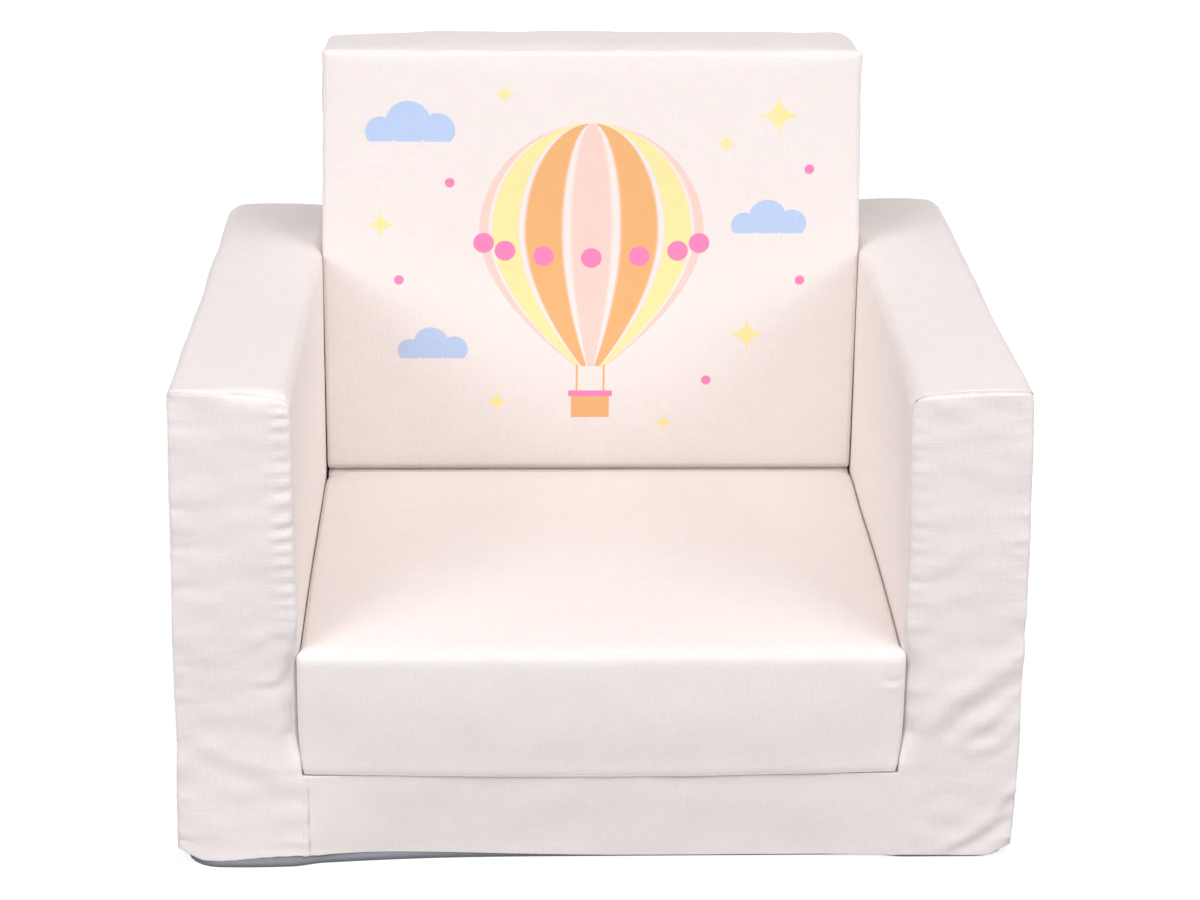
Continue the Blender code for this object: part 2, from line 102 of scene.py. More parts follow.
class Wire:
    """A shader socket that can stand in a sum."""

    def __init__(self, finish, socket):
        self.finish = finish
        self.socket = socket

    def maths(self, operation, *others, clamp=False):
        settings = {"operation": operation, "use_clamp": clamp}
        return self.finish.node("ShaderNodeMath", settings, dict(enumerate((self, *others))))

    def __add__(self, other):
        return self.maths("ADD", other)

    def __sub__(self, other):
        return self.maths("SUBTRACT", other)

    def __rsub__(self, other):
        return (self * -1).maths("ADD", other)

    def __mul__(self, other):
        return self.maths("MULTIPLY", other)

    def __truediv__(self, other):
        return self.maths("DIVIDE", other)

    __radd__ = __add__
    __rmul__ = __mul__


class Finish:
    """A material, or another tree, whose nodes are added one call at a time."""

    def __init__(self, name, tree=None):
        if tree is None:
            self.material = bpy.data.materials.new(name)
            self.material.use_nodes = True
            tree = self.material.node_tree
            self.shader = tree.nodes["Principled BSDF"]
        self.tree = tree

    def feed(self, socket, value):
        if isinstance(value, Wire):
            self.tree.links.new(value.socket, socket)
        else:
            socket.default_value = value

    def node(self, kind, settings=None, inputs=None, output=0):
        made = self.tree.nodes.new(kind)
        for word, value in (settings or {}).items():
            setattr(made, word, value)
        for key, value in (inputs or {}).items():
            self.feed(made.inputs[key], value)
        return Wire(self, made.outputs[output])

    def parts(self, vector):
        split = self.tree.nodes.new("ShaderNodeSeparateXYZ")
        self.feed(split.inputs[0], vector)
        return [Wire(self, socket) for socket in split.outputs]

    def point(self, x=0.0, y=0.0, z=0.0):
        return self.node("ShaderNodeCombineXYZ", None, {0: x, 1: y, 2: z})

    def noise(self, vector, scale, detail):
        inputs = {"Vector": vector, "Scale": scale, "Detail": detail}
        return self.node("ShaderNodeTexNoise", None, inputs)

    def mixed(self, share, first, second):
        """A colour between two, by share."""
        inputs = {0: share, 6: first, 7: second}
        return self.node("ShaderNodeMix", {"data_type": "RGBA"}, inputs, output=2)

    def toned(self, colour, factor):
        """A colour made lighter or darker."""
        return self.node("ShaderNodeVectorMath", {"operation": "SCALE"}, {0: colour, 3: factor})

    def bump(self, height, strength, distance):
        inputs = {"Strength": strength, "Distance": distance, "Height": height}
        return self.node("ShaderNodeBump", None, inputs)

    def seen_by(self, *kinds):
        """1 for those kinds of ray, and 0 for the others."""
        seen = 0.0
        for kind in kinds:
            seen = self.node("ShaderNodeLightPath", output=f"Is {kind} Ray").maths("MAXIMUM", seen)
        return seen

    def finished(self, **inputs):
        for word, value in inputs.items():
            self.feed(self.shader.inputs[word.replace("_", " ")], value)
        return self.material


def printed(red, green, blue):
    """A colour as a screen shows it, from 0 to 255, as the shader wants it."""
    shares = [value / 255 for value in (red, green, blue)]
    return (*[s / 12.92 if s <= 0.04045 else ((s + 0.055) / 1.055) ** 2.4 for s in shares], 1.0)


world = bpy.data.worlds.new("surround")
world.use_nodes = True
surround = Finish("surround", world.node_tree)
shown_white = surround.seen_by("Camera", "Glossy", "Transmission")
background = world.node_tree.nodes["Background"]
background.inputs["Color"].default_value = (1.0, 1.0, 1.0, 1.0)
surround.feed(background.inputs["Strength"], shown_white * (1 - ROOM_LIGHT) + ROOM_LIGHT)
bpy.context.scene.world = world

FLOOR_HALF = 6.0
FLOOR_GREY = printed(144, 144, 144)
FLOOR_GLOW = 0.79
floor_mesh = bpy.data.meshes.new("floor")
floor_corners = [(x * FLOOR_HALF, y * FLOOR_HALF, 0) for x, y in ((-1, -1), (1, -1), (1, 1), (-1, 1))]
floor_mesh.from_pydata(floor_corners, [], [(0, 1, 2, 3)])
floor = put("floor", floor_mesh)
white_floor = Finish("white_floor")
floor_mesh.materials.append(
    white_floor.finished(
        Base_Color=FLOOR_GREY,
        Roughness=0.9,
        Emission_Color=(1.0, 1.0, 1.0, 1.0),
        Emission_Strength=white_floor.seen_by("Camera", "Glossy") * FLOOR_GLOW,
    )
)

for word, (place, size, watts, tint) in SOFT_BOXES.items():
    lamp = bpy.data.lights.new(f"{word}_box", "AREA")
    lamp.shape = "RECTANGLE"
    lamp.size, lamp.size_y = size
    lamp.energy = watts
    lamp.color = tint
    soft_box = put(f"{word}_box", lamp)
    soft_box.location = place
    soft_box.rotation_mode = "QUATERNION"
    towards_chair = Vector((0, 0, AIM_HEIGHT)) - soft_box.location
    soft_box.rotation_quaternion = towards_chair.to_track_quat("-Z", "Y")

# Bottom sheet
# Grey nonwoven, cut to the chair's whole outline and sewn to the covers' hems. The chair stands on it.
# Its edge turns up inside the hems and shows as a grey rim where the hems are lifted.
FIBRE_BLOTCHES = 900
SHEET_THICK = 0.0006
RIM_HEIGHT = 0.0105
RIM_INSET = 0.0016
RIM_CORNER = 0.022
RIM_REAR_CORNER = 0.0235
RIM_STEP = 0.004
BASE_RIM_SETBACK = 0.0032
FOOT_REACH = 0.006
FOOT_MIDDLE = -0.222
FOOT_HALF_WIDTH = 0.085
FOOT_HEIGHT = 0.10
BESIDE_LEFT_ARM = (-0.12, -0.1877)


def speckled(name, scale, detail, colours, roughness, spread=0.0, relief=(), **inputs):
    """A finish whose colour and roughness follow one fine noise, as its relief does, or one of its own."""
    finish = Finish(name)
    place = finish.node("ShaderNodeTexCoord", output="Object")
    specks = finish.noise(place, scale, detail)
    inputs["Roughness"] = specks * spread + roughness if spread else roughness
    if relief:
        strength, distance, *own_noise = relief
        height = finish.noise(place, *own_noise) if own_noise else specks
        inputs["Normal"] = finish.bump(height, strength, distance)
    return finish.finished(Base_Color=finish.mixed(specks, *colours), **inputs)


def share_of(value, start, end):
    """0 at start and 1 at end, in a straight line."""
    return np.clip((value - start) / (end - start), 0, 1)


def fade(value, start, end):
    """0 at start and 1 at end, with soft ends."""
    share = share_of(value, start, end)
    return share * share * (3 - 2 * share)


def bell(value, width):
    """1 at nought, and less to both sides."""
    return np.exp(-((value / width) ** 2))


NEARLY = 1e-4


def lies_at(value, place):
    """Whether a place is on the side of a box that has this value."""
    return np.abs(value - place) < NEARLY


def as_mesh(piece):
    """The piece with its modifiers worked into a plain mesh of its own."""
    bpy.context.view_layer.update()
    plain = bpy.data.meshes.new_from_object(piece.evaluated_get(bpy.context.evaluated_depsgraph_get()))
    piece.modifiers.clear()
    piece.data = plain
    plain.name = piece.name
    return piece


def new_piece(name, mesh, finish):
    mesh.materials.append(finish)
    return put(name, mesh)


def belongs(piece, body, slot, *nodes):
    """Hangs the piece on the body it rides on and hides the solids it stands for. The slot, what it is made
    of, is not used.
    """
    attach(piece, body)
    if nodes:
        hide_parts(*nodes)


@contextmanager
def rebuilt(mesh):
    """Opens a mesh for work on its faces, and writes it back."""
    build = bmesh.new()
    build.from_mesh(mesh)
    yield build
    build.to_mesh(mesh)
    build.free()


def quads_of(index):
    """The four-cornered faces of a grid of numbered places."""
    corners = [index[:-1, :-1], index[1:, :-1], index[1:, 1:], index[:-1, 1:]]
    return np.stack(corners, axis=-1).reshape(-1, 4)


def run_lengths(line):
    """How far each place of a line is along it."""
    return np.concatenate([[0], np.cumsum(np.linalg.norm(np.diff(line, axis=0), axis=1))])


def cloth_grid(name, points, finish, flats=None, closed=False):
    """A sheet of cloth from rows of places, with its flat places as the UV map cloth."""
    rows, columns = points.shape[:2]
    index = np.arange(rows * columns).reshape(rows, columns)
    if closed:
        index = np.concatenate([index, index[:1]])
    quads = quads_of(index)
    mesh = bpy.data.meshes.new(name)
    mesh.from_pydata(points.reshape(-1, 3).tolist(), [], quads.tolist())
    if flats is None:
        along, across = run_lengths(points[:, 0]), run_lengths(points[0])
        flats = np.stack(np.meshgrid(along, across, indexing="ij"), axis=-1)
    flat_corners = flats.reshape(-1, 2)[quads.ravel()]
    mesh.uv_layers.new(name="cloth").data.foreach_set("uv", flat_corners.ravel())
    mesh.shade_smooth()
    return new_piece(name, mesh, finish)


def thickened(piece, thickness, offset=-1.0):
    wall = piece.modifiers.new("wall", "SOLIDIFY")
    wall.thickness = thickness
    wall.offset = offset
    return as_mesh(piece)


def foot_forward(x, z):
    """How far the cover's slack foot stands forward, most under the left arm."""
    return FOOT_REACH * bell(x - FOOT_MIDDLE, FOOT_HALF_WIDTH) * share_of(z, FOOT_HEIGHT, 0) ** 1.5


sheet_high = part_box("bottom_panel")[1]
rim_half = sheet_high.x - RIM_INSET
rim_rear = sheet_high.y - RIM_INSET
rim_corners = []
for turn_x, turn_y, radius, start in (
    (1, -1, RIM_CORNER, -90),
    (1, 1, RIM_REAR_CORNER, 0),
    (-1, 1, RIM_REAR_CORNER, 90),
    (-1, -1, RIM_CORNER, 180),
):
    centre = np.array([turn_x * (rim_half - radius), turn_y * (rim_rear - radius)])
    angles = np.radians(np.linspace(start, start + 90, 7))
    rim_corners.append(centre + radius * np.stack([np.cos(angles), np.sin(angles)], axis=1))
rim_corners = np.concatenate(rim_corners)
rim_line = []
for here, there in zip(rim_corners, np.roll(rim_corners, -1, axis=0)):
    count = max(1, round(np.linalg.norm(there - here) / RIM_STEP))
    rim_line += [here + (there - here) * step / count for step in range(count)]
rim_line = np.array(rim_line)
on_front = lies_at(rim_line[:, 1], -rim_rear)
rim_line[on_front, 1] += BASE_RIM_SETBACK * fade(np.abs(rim_line[on_front, 0]), 0.195, 0.175)
tray_rings = [(share, 0.0) for share in (0.0, 0.25, 0.5, 0.75, 0.97)]
tray_rings += [(1.0, height) for height in np.linspace(0.0004, RIM_HEIGHT, 4)]
tray_points = np.array([[(x * share, y * share, z) for share, z in tray_rings] for x, y in rim_line])
tray_x, tray_y, tray_z = np.moveaxis(tray_points, -1, 0)
tucked = fade(tray_x, *BESIDE_LEFT_ARM) * 0.9
bowed = tucked + (1.5 - tucked) * fade(tray_z, RIM_HEIGHT, 0.0)
tray_y -= bowed * foot_forward(tray_x, 0.0) * fade(tray_y, -0.150, -0.205)
fleece_colours = (printed(150, 152, 156), printed(126, 128, 133))
fleece_cloth = speckled("grey_nonwoven", FIBRE_BLOTCHES, 4.0, fleece_colours, 0.95, relief=(0.5, 0.0004))
bottom_sheet = cloth_grid("bottom_sheet", tray_points, fleece_cloth, closed=True)
with rebuilt(bottom_sheet.data) as tray:
    bmesh.ops.remove_doubles(tray, verts=tray.verts, dist=1e-6)
thickened(bottom_sheet, SHEET_THICK)
belongs(bottom_sheet, "frame", "grey_nonwoven", "bottom_panel")

# Arms
# Each is a foam block in one width of cloth over its outer side, top and inner side, with a panel
# sewn in at the front. The rear outer corner is round in plan, and the top rolls off to the rear.
CLOTH_COLOUR = printed(242, 231, 227)
UNDYED = printed(240, 232, 225)
THREAD = 0.0005
WEAVE_HEIGHT = 0.00005
SLUB_HEIGHT = 0.00012
EDGE_STEPS = 2
GRID = 0.0046
ARM_EDGE = 0.006
ARM_FRONT_EDGE = 0.0018
ARM_REAR_CORNER = 0.025
ARM_REAR_ROLL = 0.012
ARM_CROWN = 0.0015
ARM_FLARE = 0.005
FRONT_CORNER_LIFT = 0.0075
FRONT_REACH = 0.05
FOOT_ROUNDING = 0.003
SHARPEST_EDGE = 0.0002
OVER_BASE = (-0.008, 0.004)
BESIDE_SEAT = ((0.005, 0.028), (0.108, 0.068))
ABOVE_SEAT = (0.165, 0.21)
BESIDE_BASE = (0.001, -0.007)
BASE_TOUCH = 0.0015
BELLY_FOOT = 0.03
BELLY_HEIGHT = 0.27
CREVICE = ((0.004, 0.020), (0.092, 0.070))
CREVICE_WIDTH = 0.009
CREVICE_ROLL = 0.006
GATHERED = ((0.165, 0.19), (0.315, 0.305))
HEM_EDGE = 0.002
HEM_HEIGHT = 0.02
PANEL_TUCK = 0.0015
TOP_SLOPE = 0.003
TOP_OUTER_RISE = 0.0012
INWARD_LEAN = 0.0014
REAR_RISE = 0.0045
SEAM_DEPTH = 0.0009
SEAM_WIDTH = 0.0007
SEAM_BEHIND = 0.0011
SEAM_START = 0.006
SEAM_STEP = 0.004
REAR_SEAM_DEPTH = 0.0006
REAR_SEAM_WIDTH = 0.0016


def woven_cloth(name, colour, tint=None):
    """Plain-woven cotton: fine threads, thicker slubs along them, and a faint unevenness of colour."""
    cloth = Finish(name)
    flat = cloth.node("ShaderNodeUVMap", {"uv_map": "cloth"})
    u, v, _ = cloth.parts(flat)
    warp = (u * (math.pi / THREAD)).maths("SINE")
    weft = (v * (math.pi / THREAD)).maths("SINE")
    slubs = cloth.noise(cloth.point(u * 90, v * 700), 1.0, 1.0) - 0.5
    slubs += cloth.noise(cloth.point(u * 700, v * 90, 7.0), 1.0, 1.0) - 0.5
    uneven = slubs * 0.06 + (cloth.noise(flat, 45, 2.0) - 0.5) * 0.03 + 1.0
    patches = cloth.noise(cloth.point(u, v, 3.0), 60, 1.0)
    drift = (patches - 0.25).maths("MULTIPLY", 2.0, clamp=True)
    shade = cloth.toned(cloth.mixed(drift, colour, UNDYED), uneven)
    if tint is not None:
        shade = tint(cloth, shade, uneven)
    cloth.shader.inputs["Sheen Weight"].default_value = 0.15
    cloth.shader.inputs["Sheen Roughness"].default_value = 0.5
    cloth.shader.inputs["Specular IOR Level"].default_value = 0.3
    relief = cloth.bump(warp * weft * WEAVE_HEIGHT + slubs * SLUB_HEIGHT, 1.0, 1.0)
    return cloth.finished(Base_Color=shade, Roughness=0.85, Normal=relief)


def ruled(low, high, low_edge, high_edge, step):
    """Places from low to high, closer together across the two rounded edges."""
    count = max(1, round((high - low - low_edge - high_edge) / step))
    first = np.linspace(low, low + low_edge, EDGE_STEPS + 1)[:-1]
    middle = np.linspace(low + low_edge, high - high_edge, count + 1)
    return np.concatenate([first, middle, np.linspace(high - high_edge, high, EDGE_STEPS + 1)[1:]])


def box_grid(lines):
    """A closed grid over a box: its places, its faces, and each face corner's place in the flat cloth."""
    counts = [len(line) for line in lines]
    rim = np.zeros(counts, bool)
    for axis in range(3):
        for end in (0, -1):
            rim[tuple(end if a == axis else slice(None) for a in range(3))] = True
    number = np.full(counts, -1)
    number[rim] = np.arange(rim.sum())
    places = np.stack([grid[rim] for grid in np.meshgrid(*lines, indexing="ij")], axis=1)
    faces = []
    flats = []
    for axis in range(3):
        across = [a for a in range(3) if a != axis]
        for end in (0, counts[axis] - 1):
            quads = quads_of(number.take(end, axis=axis))
            if (end == 0) != (axis == 1):
                quads = quads[:, ::-1]
            faces.append(quads)
            flats.append(places[quads][:, :, across])
    return places, np.concatenate(faces), np.concatenate(flats)


def rounder(points, low, high):
    """A way to round the sharp edges of a box, each named by the two sides that meet there, as in "-x+z"."""

    def roll(edge, radius):
        sides = [("xyz".index(edge[spot + 1]), 1 if edge[spot] == "+" else -1) for spot in (0, 2)]
        corner = [(high if way > 0 else low)[axis] for axis, way in sides]
        a, b = [
            np.clip((points[:, axis] - end) * way / radius + 1, 0, None)
            for (axis, way), end in zip(sides, corner)
        ]
        inside = (a > 0) & (b > 0)
        for (axis, way), share, other in zip(sides, (a, b), (b, a)):
            rounded = share * np.sqrt(np.clip(1 - other * other / 2, 0, None))
            points[inside, axis] += ((rounded - share) * radius * way)[inside]

    return roll


def read_vectors(items, word, count=3):
    values = np.zeros(len(items) * count, np.float32)
    items.foreach_get(word, values)
    return values.reshape(-1, count).astype(float)


def move_to(mesh, points):
    mesh.vertices.foreach_set("co", points.astype(np.float32).ravel())
    mesh.update()


def cloth_block(name, low, high, edges, finish, shape, relief, settle=None, coarse=(), mirrored=False):
    """A block in cloth: a grid over a box, shaped from its sharp places, made twice as fine, and raised
    along its normals by its relief, which is worked out from the sharp places too."""
    steps = [2 * GRID if axis in coarse else GRID for axis in range(3)]
    places, faces, flats = box_grid([ruled(*ends) for ends in zip(low, high, *zip(*edges), steps)])
    mesh = bpy.data.meshes.new(name)
    mesh.from_pydata(shape(places.copy()).tolist(), [], faces.tolist())
    mesh.uv_layers.new(name="cloth").data.foreach_set("uv", flats.ravel())
    mesh.attributes.new("place", "FLOAT_VECTOR", "POINT").data.foreach_set("vector", places.ravel())
    mesh.shade_smooth()
    piece = new_piece(name, mesh, finish)
    if settle is not None:
        settle(piece, places)
    finer = piece.modifiers.new("finer", "SUBSURF")
    finer.levels = finer.render_levels = 1
    mesh = as_mesh(piece).data
    if mirrored:
        mesh.flip_normals()
    places = read_vectors(mesh.attributes["place"].data, "vector")
    mesh.attributes.remove(mesh.attributes["place"])
    normals = read_vectors(mesh.vertices, "normal")
    move_to(mesh, read_vectors(mesh.vertices, "co") + normals * relief(places)[:, None])
    return piece


def wave_of(place, length, start=0.0):
    return np.sin(place * 2 * math.pi / length + start)


def ripple(place):
    """An uneven wave along a seam, as gathered cloth makes it."""
    wave = wave_of(place, 0.0087) + 0.7 * wave_of(place, 0.0134, 1.3) + 0.5 * wave_of(place, 0.0231, 0.4)
    return wave / 2.2 * (0.6 + 0.4 * wave_of(place, 0.097, 2.1))


def swell(places, turn=0.0):
    """A broad soft unevenness over a whole cover."""
    x, y, z = places.T
    wave = np.sin(x * 41 + z * 33 + turn) + np.sin(y * 37 - z * 29 + 1.7 * turn)
    return (wave + 0.7 * np.sin(x * 71 - y * 63 + z * 57 + 2.3 + turn)) / 2.7


def crumple(places, size, seed, stretch=(1, 1, 1)):
    """Soft random dents of about that size, as handled cloth has."""
    scaled = places * stretch / size + seed
    return np.array([noise.noise(point) for point in scaled.tolist()])


def between(value, rise, fall):
    """1 between two fades, and 0 outside them."""
    return fade(value, *rise) * fade(value, *fall)


def gathers(away, height):
    """Short uneven ridges that run square into a seam, one above the other."""
    drift = 0.0022 * np.sin(height * 61 + 0.7) + 0.0012 * np.sin(height * 143)
    ridges = np.clip(wave_of(height + 0.15 * away + drift, 0.0098) + 0.35, -0.35, None)
    reach = between(away, (-0.0005, 0.003), (0.017, 0.006))
    return ridges * (0.65 + 0.35 * np.sin(height * 83 + 1.1)) * reach


def end_seam(places, axis, at, low, high, open_sides=()):
    """Distance from the seam round one end of a block, and the way along it."""
    others = [a for a in range(3) if a != axis]
    distance = np.full(len(places), 9.0)
    along = np.zeros(len(places))
    for side, other in (others, others[::-1]):
        for bound in (low[side], high[side]):
            if (side, bound) in open_sides:
                continue
            away = np.abs(places[:, side] - bound)
            nearer = away < distance
            distance[nearer] = away[nearer]
            along[nearer] = places[nearer, other] + side * 0.37 + bound
    return distance + np.abs(places[:, axis] - at), along


def seam_relief(distance, along, puckers, reach=0.008, depth=SEAM_DEPTH):
    """The groove of a seam, and the short puckers that it draws into the cloth."""
    rise = np.exp(-distance / reach) * (1 - np.exp(-distance / 0.002))
    return puckers * rise * ripple(along) - depth * bell(distance - SEAM_BEHIND, SEAM_WIDTH)


def fold_relief(across, up, start, end, height, width):
    """A soft ridge from start to end in a face's own two directions, lower towards its ends."""
    run = np.array(end) - np.array(start)
    length = np.linalg.norm(run)
    run = run / length
    share = ((across - start[0]) * run[0] + (up - start[1]) * run[1]) / length
    side = -(across - start[0]) * run[1] + (up - start[1]) * run[0]
    side += 0.0035 * np.sin(share * 4.6 + start[1] * 90) + 0.0012 * np.sin(share * 11 + start[0] * 70)
    ends = np.clip(share, 0, 1) * np.clip(1 - share, 0, 1) * 4
    return height * (bell(side, width) - 0.6 * bell(side + 1.7 * width, width)) * np.sqrt(ends)


cover_cloth = woven_cloth("cover_cloth", CLOTH_COLOUR)
wall_low, wall_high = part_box("rear_wall_cover")
panel_low, panel_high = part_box("frame_back_panel")
deck_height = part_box("base_top_panel")[1].z
seat_band_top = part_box("seat_side_band")[1].z


def frame_lean(points):
    """The chair's right rear stands a little higher than its left."""
    x, y, z = points.T
    risen = share_of(y, panel_low.y - 0.42, panel_low.y) ** 2 * share_of(x, -0.19, 0.19)
    points[:, 2] += REAR_RISE * risen * share_of(z, 0, wall_high.z)
    return points


def arm_block(
    word, side, spread, inner_roll, seat_roll, top_roll, upper_roll, seam_depth, front_gathers, base_reach,
    hem_lift, belly, lean, folds
):
    low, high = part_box(f"{word}_arm_cover")
    front_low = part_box(f"{word}_arm_front_panel")[0]
    inner = min(abs(low.x), abs(high.x))
    outer = max(abs(low.x), abs(high.x)) - ARM_FLARE * (1 - low.z / high.z)
    top = high.z - ARM_CROWN
    near = (inner, front_low.y, front_low.z)
    far = (outer, high.y, top)

    def shape(points):
        x, y, z = points.copy().T
        over_deck = z - deck_height
        behind = y - near[1]
        at_front = np.exp(-behind / FRONT_REACH)
        roll = rounder(points, near, far)
        roll("+x+z", ARM_EDGE)
        roll("-x+z", ARM_EDGE + (inner_roll - ARM_EDGE) * at_front)
        roll("+x-y", ARM_FRONT_EDGE + FOOT_ROUNDING * np.exp(-z / HEM_HEIGHT))
        inner_radius = ARM_FRONT_EDGE * fade(over_deck, *OVER_BASE) + SHARPEST_EDGE
        inner_radius += (seat_roll - ARM_FRONT_EDGE) * between(over_deck, *BESIDE_SEAT)
        inner_radius += (upper_roll - ARM_FRONT_EDGE) * fade(z, *ABOVE_SEAT)
        roll("-x-y", inner_radius)
        front_radius = ARM_FRONT_EDGE + (top_roll - ARM_FRONT_EDGE) * fade(x, outer, inner + 0.01)
        roll("-y+z", front_radius)
        roll("+x+y", ARM_REAR_CORNER)
        roll("+y+z", ARM_REAR_ROLL)
        tucked_y = far[1] - PANEL_TUCK
        under_panel = (points[:, 0] < panel_high.x) & (z < panel_high.z) & (points[:, 1] > tucked_y)
        points[under_panel, 1] = tucked_y
        share = (x - inner) / (outer - inner)
        to_rear = behind / (far[1] - near[1])
        crown = ARM_CROWN * 4 * share * (1 - share)
        crown += (TOP_SLOPE * (share - 0.8) + TOP_OUTER_RISE * share) * at_front
        points[:, 2] += crown * share_of(z, top - 0.03, top)
        points[:, 0] += (ARM_FLARE * (1 - z / top) + spread * (1 - 0.7 * to_rear)) * share
        swollen = np.sin(math.pi * np.clip((z - BELLY_FOOT) / BELLY_HEIGHT, -0.2, 1))
        points[:, 0] += belly * swollen * share * (1 - to_rear)
        leaning = INWARD_LEAN * fade(z, 0.15, top) * to_rear + lean * fade(z, 0.16, top) * at_front
        points[:, 0] -= leaning * (1 - share)
        beside_base = fade(over_deck, *BESIDE_BASE) * np.exp(-behind / BASE_TOUCH)
        points[:, 0] -= base_reach * beside_base * (1 - share) ** 8
        uneven = 1 + 0.35 * np.sin(share * 5 + 1) + 0.12 * np.sin(x * 690)
        lift = hem_lift * (1 - 0.7 * to_rear) * uneven
        lift += FRONT_CORNER_LIFT * fade(share, 0.78, 1.0) * np.exp(-behind / 0.02)
        points[:, 2] += lift * share_of(z, HEM_HEIGHT, 0)
        points[:, 0] *= side
        points[:, 1] -= foot_forward(points[:, 0], z) * fade(behind, FRONT_REACH, 0)
        return frame_lean(points)

    def relief(places):
        x, y, z = places.T
        over_deck = z - deck_height
        distance, along = end_seam(places, 1, near[1], near, far, open_sides=((2, near[2]),))
        on_front = lies_at(y, near[1])
        puckers = (0.0005 + 0.0004 * fade(z, 0.1, 0.2)) * ~lies_at(x, inner)
        grooved = np.where(on_front, z > top - 0.0035, ~lies_at(z, top))
        raised = seam_relief(distance, along, puckers, 0.007, seam_depth * grooved)
        broad = 0.0004 * swell(places, side * 2.0) + 0.0006 * crumple(places, 0.040, 8.3 + side) * ~on_front
        raised += broad * np.where(lies_at(x, inner), 0.25, 1.0)
        raised += 0.0012 * crumple(places, 0.060, 5.2 + side, (1, 1, 0.6)) * lies_at(x, outer)
        ragged = 1 + 0.35 * crumple(places, CREVICE_WIDTH, 6.6)
        beside_seat = between(over_deck, *CREVICE) * bell(x - inner, CREVICE_WIDTH)
        creased = (CREVICE_ROLL - seat_roll) * 0.4 * beside_seat * ragged
        creased += front_gathers * gathers(x - inner, z) * between(z, *GATHERED)
        near_seams = 0.35 + 0.65 * np.exp(-distance / 0.03)
        creased += 0.0011 * crumple(places, 0.022, 3.1 + side, (1, 1, 1.7)) * near_seams
        for fold in folds:
            creased += fold_relief(x, z, *fold)
        raised += creased * on_front
        if side > 0:
            beside_base = fade(over_deck, 0.004, -0.006) * fade(x, inner + 0.02, inner + 0.003)
            raised *= 1 - beside_base * on_front
        rear_seam = np.abs(z - panel_high.z) + np.abs(y - far[1]) * 2
        return raised - REAR_SEAM_DEPTH * bell(rear_seam, REAR_SEAM_WIDTH) * (x < panel_high.x)

    edges = ((ARM_EDGE, ARM_EDGE), (ARM_FRONT_EDGE, ARM_REAR_ROLL), (HEM_EDGE, ARM_EDGE))
    piece = cloth_block(f"{word}_arm", near, far, edges, cover_cloth, shape, relief, mirrored=side < 0)
    solids = [f"{word}_arm_{solid}" for solid in ("cover", "front_panel", "foam")]
    belongs(piece, "frame", "cover_cloth", *solids)
    up_outer = [(outer, near[1], z) for z in np.arange(near[2] + SEAM_START, top, SEAM_STEP)]
    over_top = [(x, near[1], top) for x in np.arange(outer, inner, -SEAM_STEP)]
    down_inner = [(inner, near[1], z) for z in np.arange(top, seat_band_top + SEAM_STEP, -SEAM_STEP)]
    sewn = np.array(up_outer + over_top + down_inner)
    sewn[:, 1] += SEAM_BEHIND
    return piece, shape(sewn)


left_arm, left_seam = arm_block(
    "left",
    side=-1,
    spread=0.0030,
    inner_roll=0.008,
    seat_roll=0.013,
    top_roll=0.009,
    upper_roll=0.003,
    seam_depth=0.0003,
    front_gathers=0.0010,
    base_reach=0.005,
    hem_lift=0.0046,
    belly=0.0,
    lean=0.0,
    folds=(
        ((0.1895, 0.142), (0.214, 0.120), 0.0007, 0.0036),
        ((0.1895, 0.162), (0.218, 0.150), 0.0004, 0.0036),
        ((0.200, 0.062), (0.256, 0.094), 0.0005, 0.006),
    ),
)
right_arm, right_seam = arm_block(
    "right",
    side=1,
    spread=0.0,
    inner_roll=0.011,
    seat_roll=0.011,
    top_roll=0.0018,
    upper_roll=0.006,
    seam_depth=0.0018,
    front_gathers=0.0003,
    base_reach=0.0,
    hem_lift=0.0008,
    belly=0.0021,
    lean=0.0045,
    folds=(
        ((0.196, 0.091), (0.272, 0.150), 0.0017, 0.0080),
        ((0.214, 0.083), (0.272, 0.122), 0.0012, 0.0062),
        ((0.226, 0.076), (0.272, 0.100), 0.0009, 0.0050),
        ((0.190, 0.193), (0.222, 0.217), 0.0006, 0.0060),
        ((0.190, 0.163), (0.226, 0.185), 0.0005, 0.0060),
        ((0.222, 0.012), (0.272, 0.055), 0.0011, 0.0045),
        ((0.212, 0.008), (0.268, 0.033), 0.0010, 0.0042),
    ),
)

# Seam stitches
# The sewing thread shows in the groove of each arm's front seam, as a row of short pulled stitches.
STITCH_LENGTH = 0.0024
STITCH_THICK = 0.00042
STITCH_PITCH = 0.0038
STITCH_SINK = 0.0001
STITCH_SIDES = 6
STITCH_RINGS = ((-0.5, 0.35, -0.5), (-0.3, 0.9, 0.1), (0.0, 1.0, 0.3), (0.3, 0.9, 0.1), (0.5, 0.35, -0.5))
THREAD_TWIST = 3000
thread_colours = (printed(238, 225, 222), printed(222, 206, 203))
thread_finish = speckled("thread", THREAD_TWIST, 1.0, thread_colours, 0.6, relief=(0.4, 0.0001))

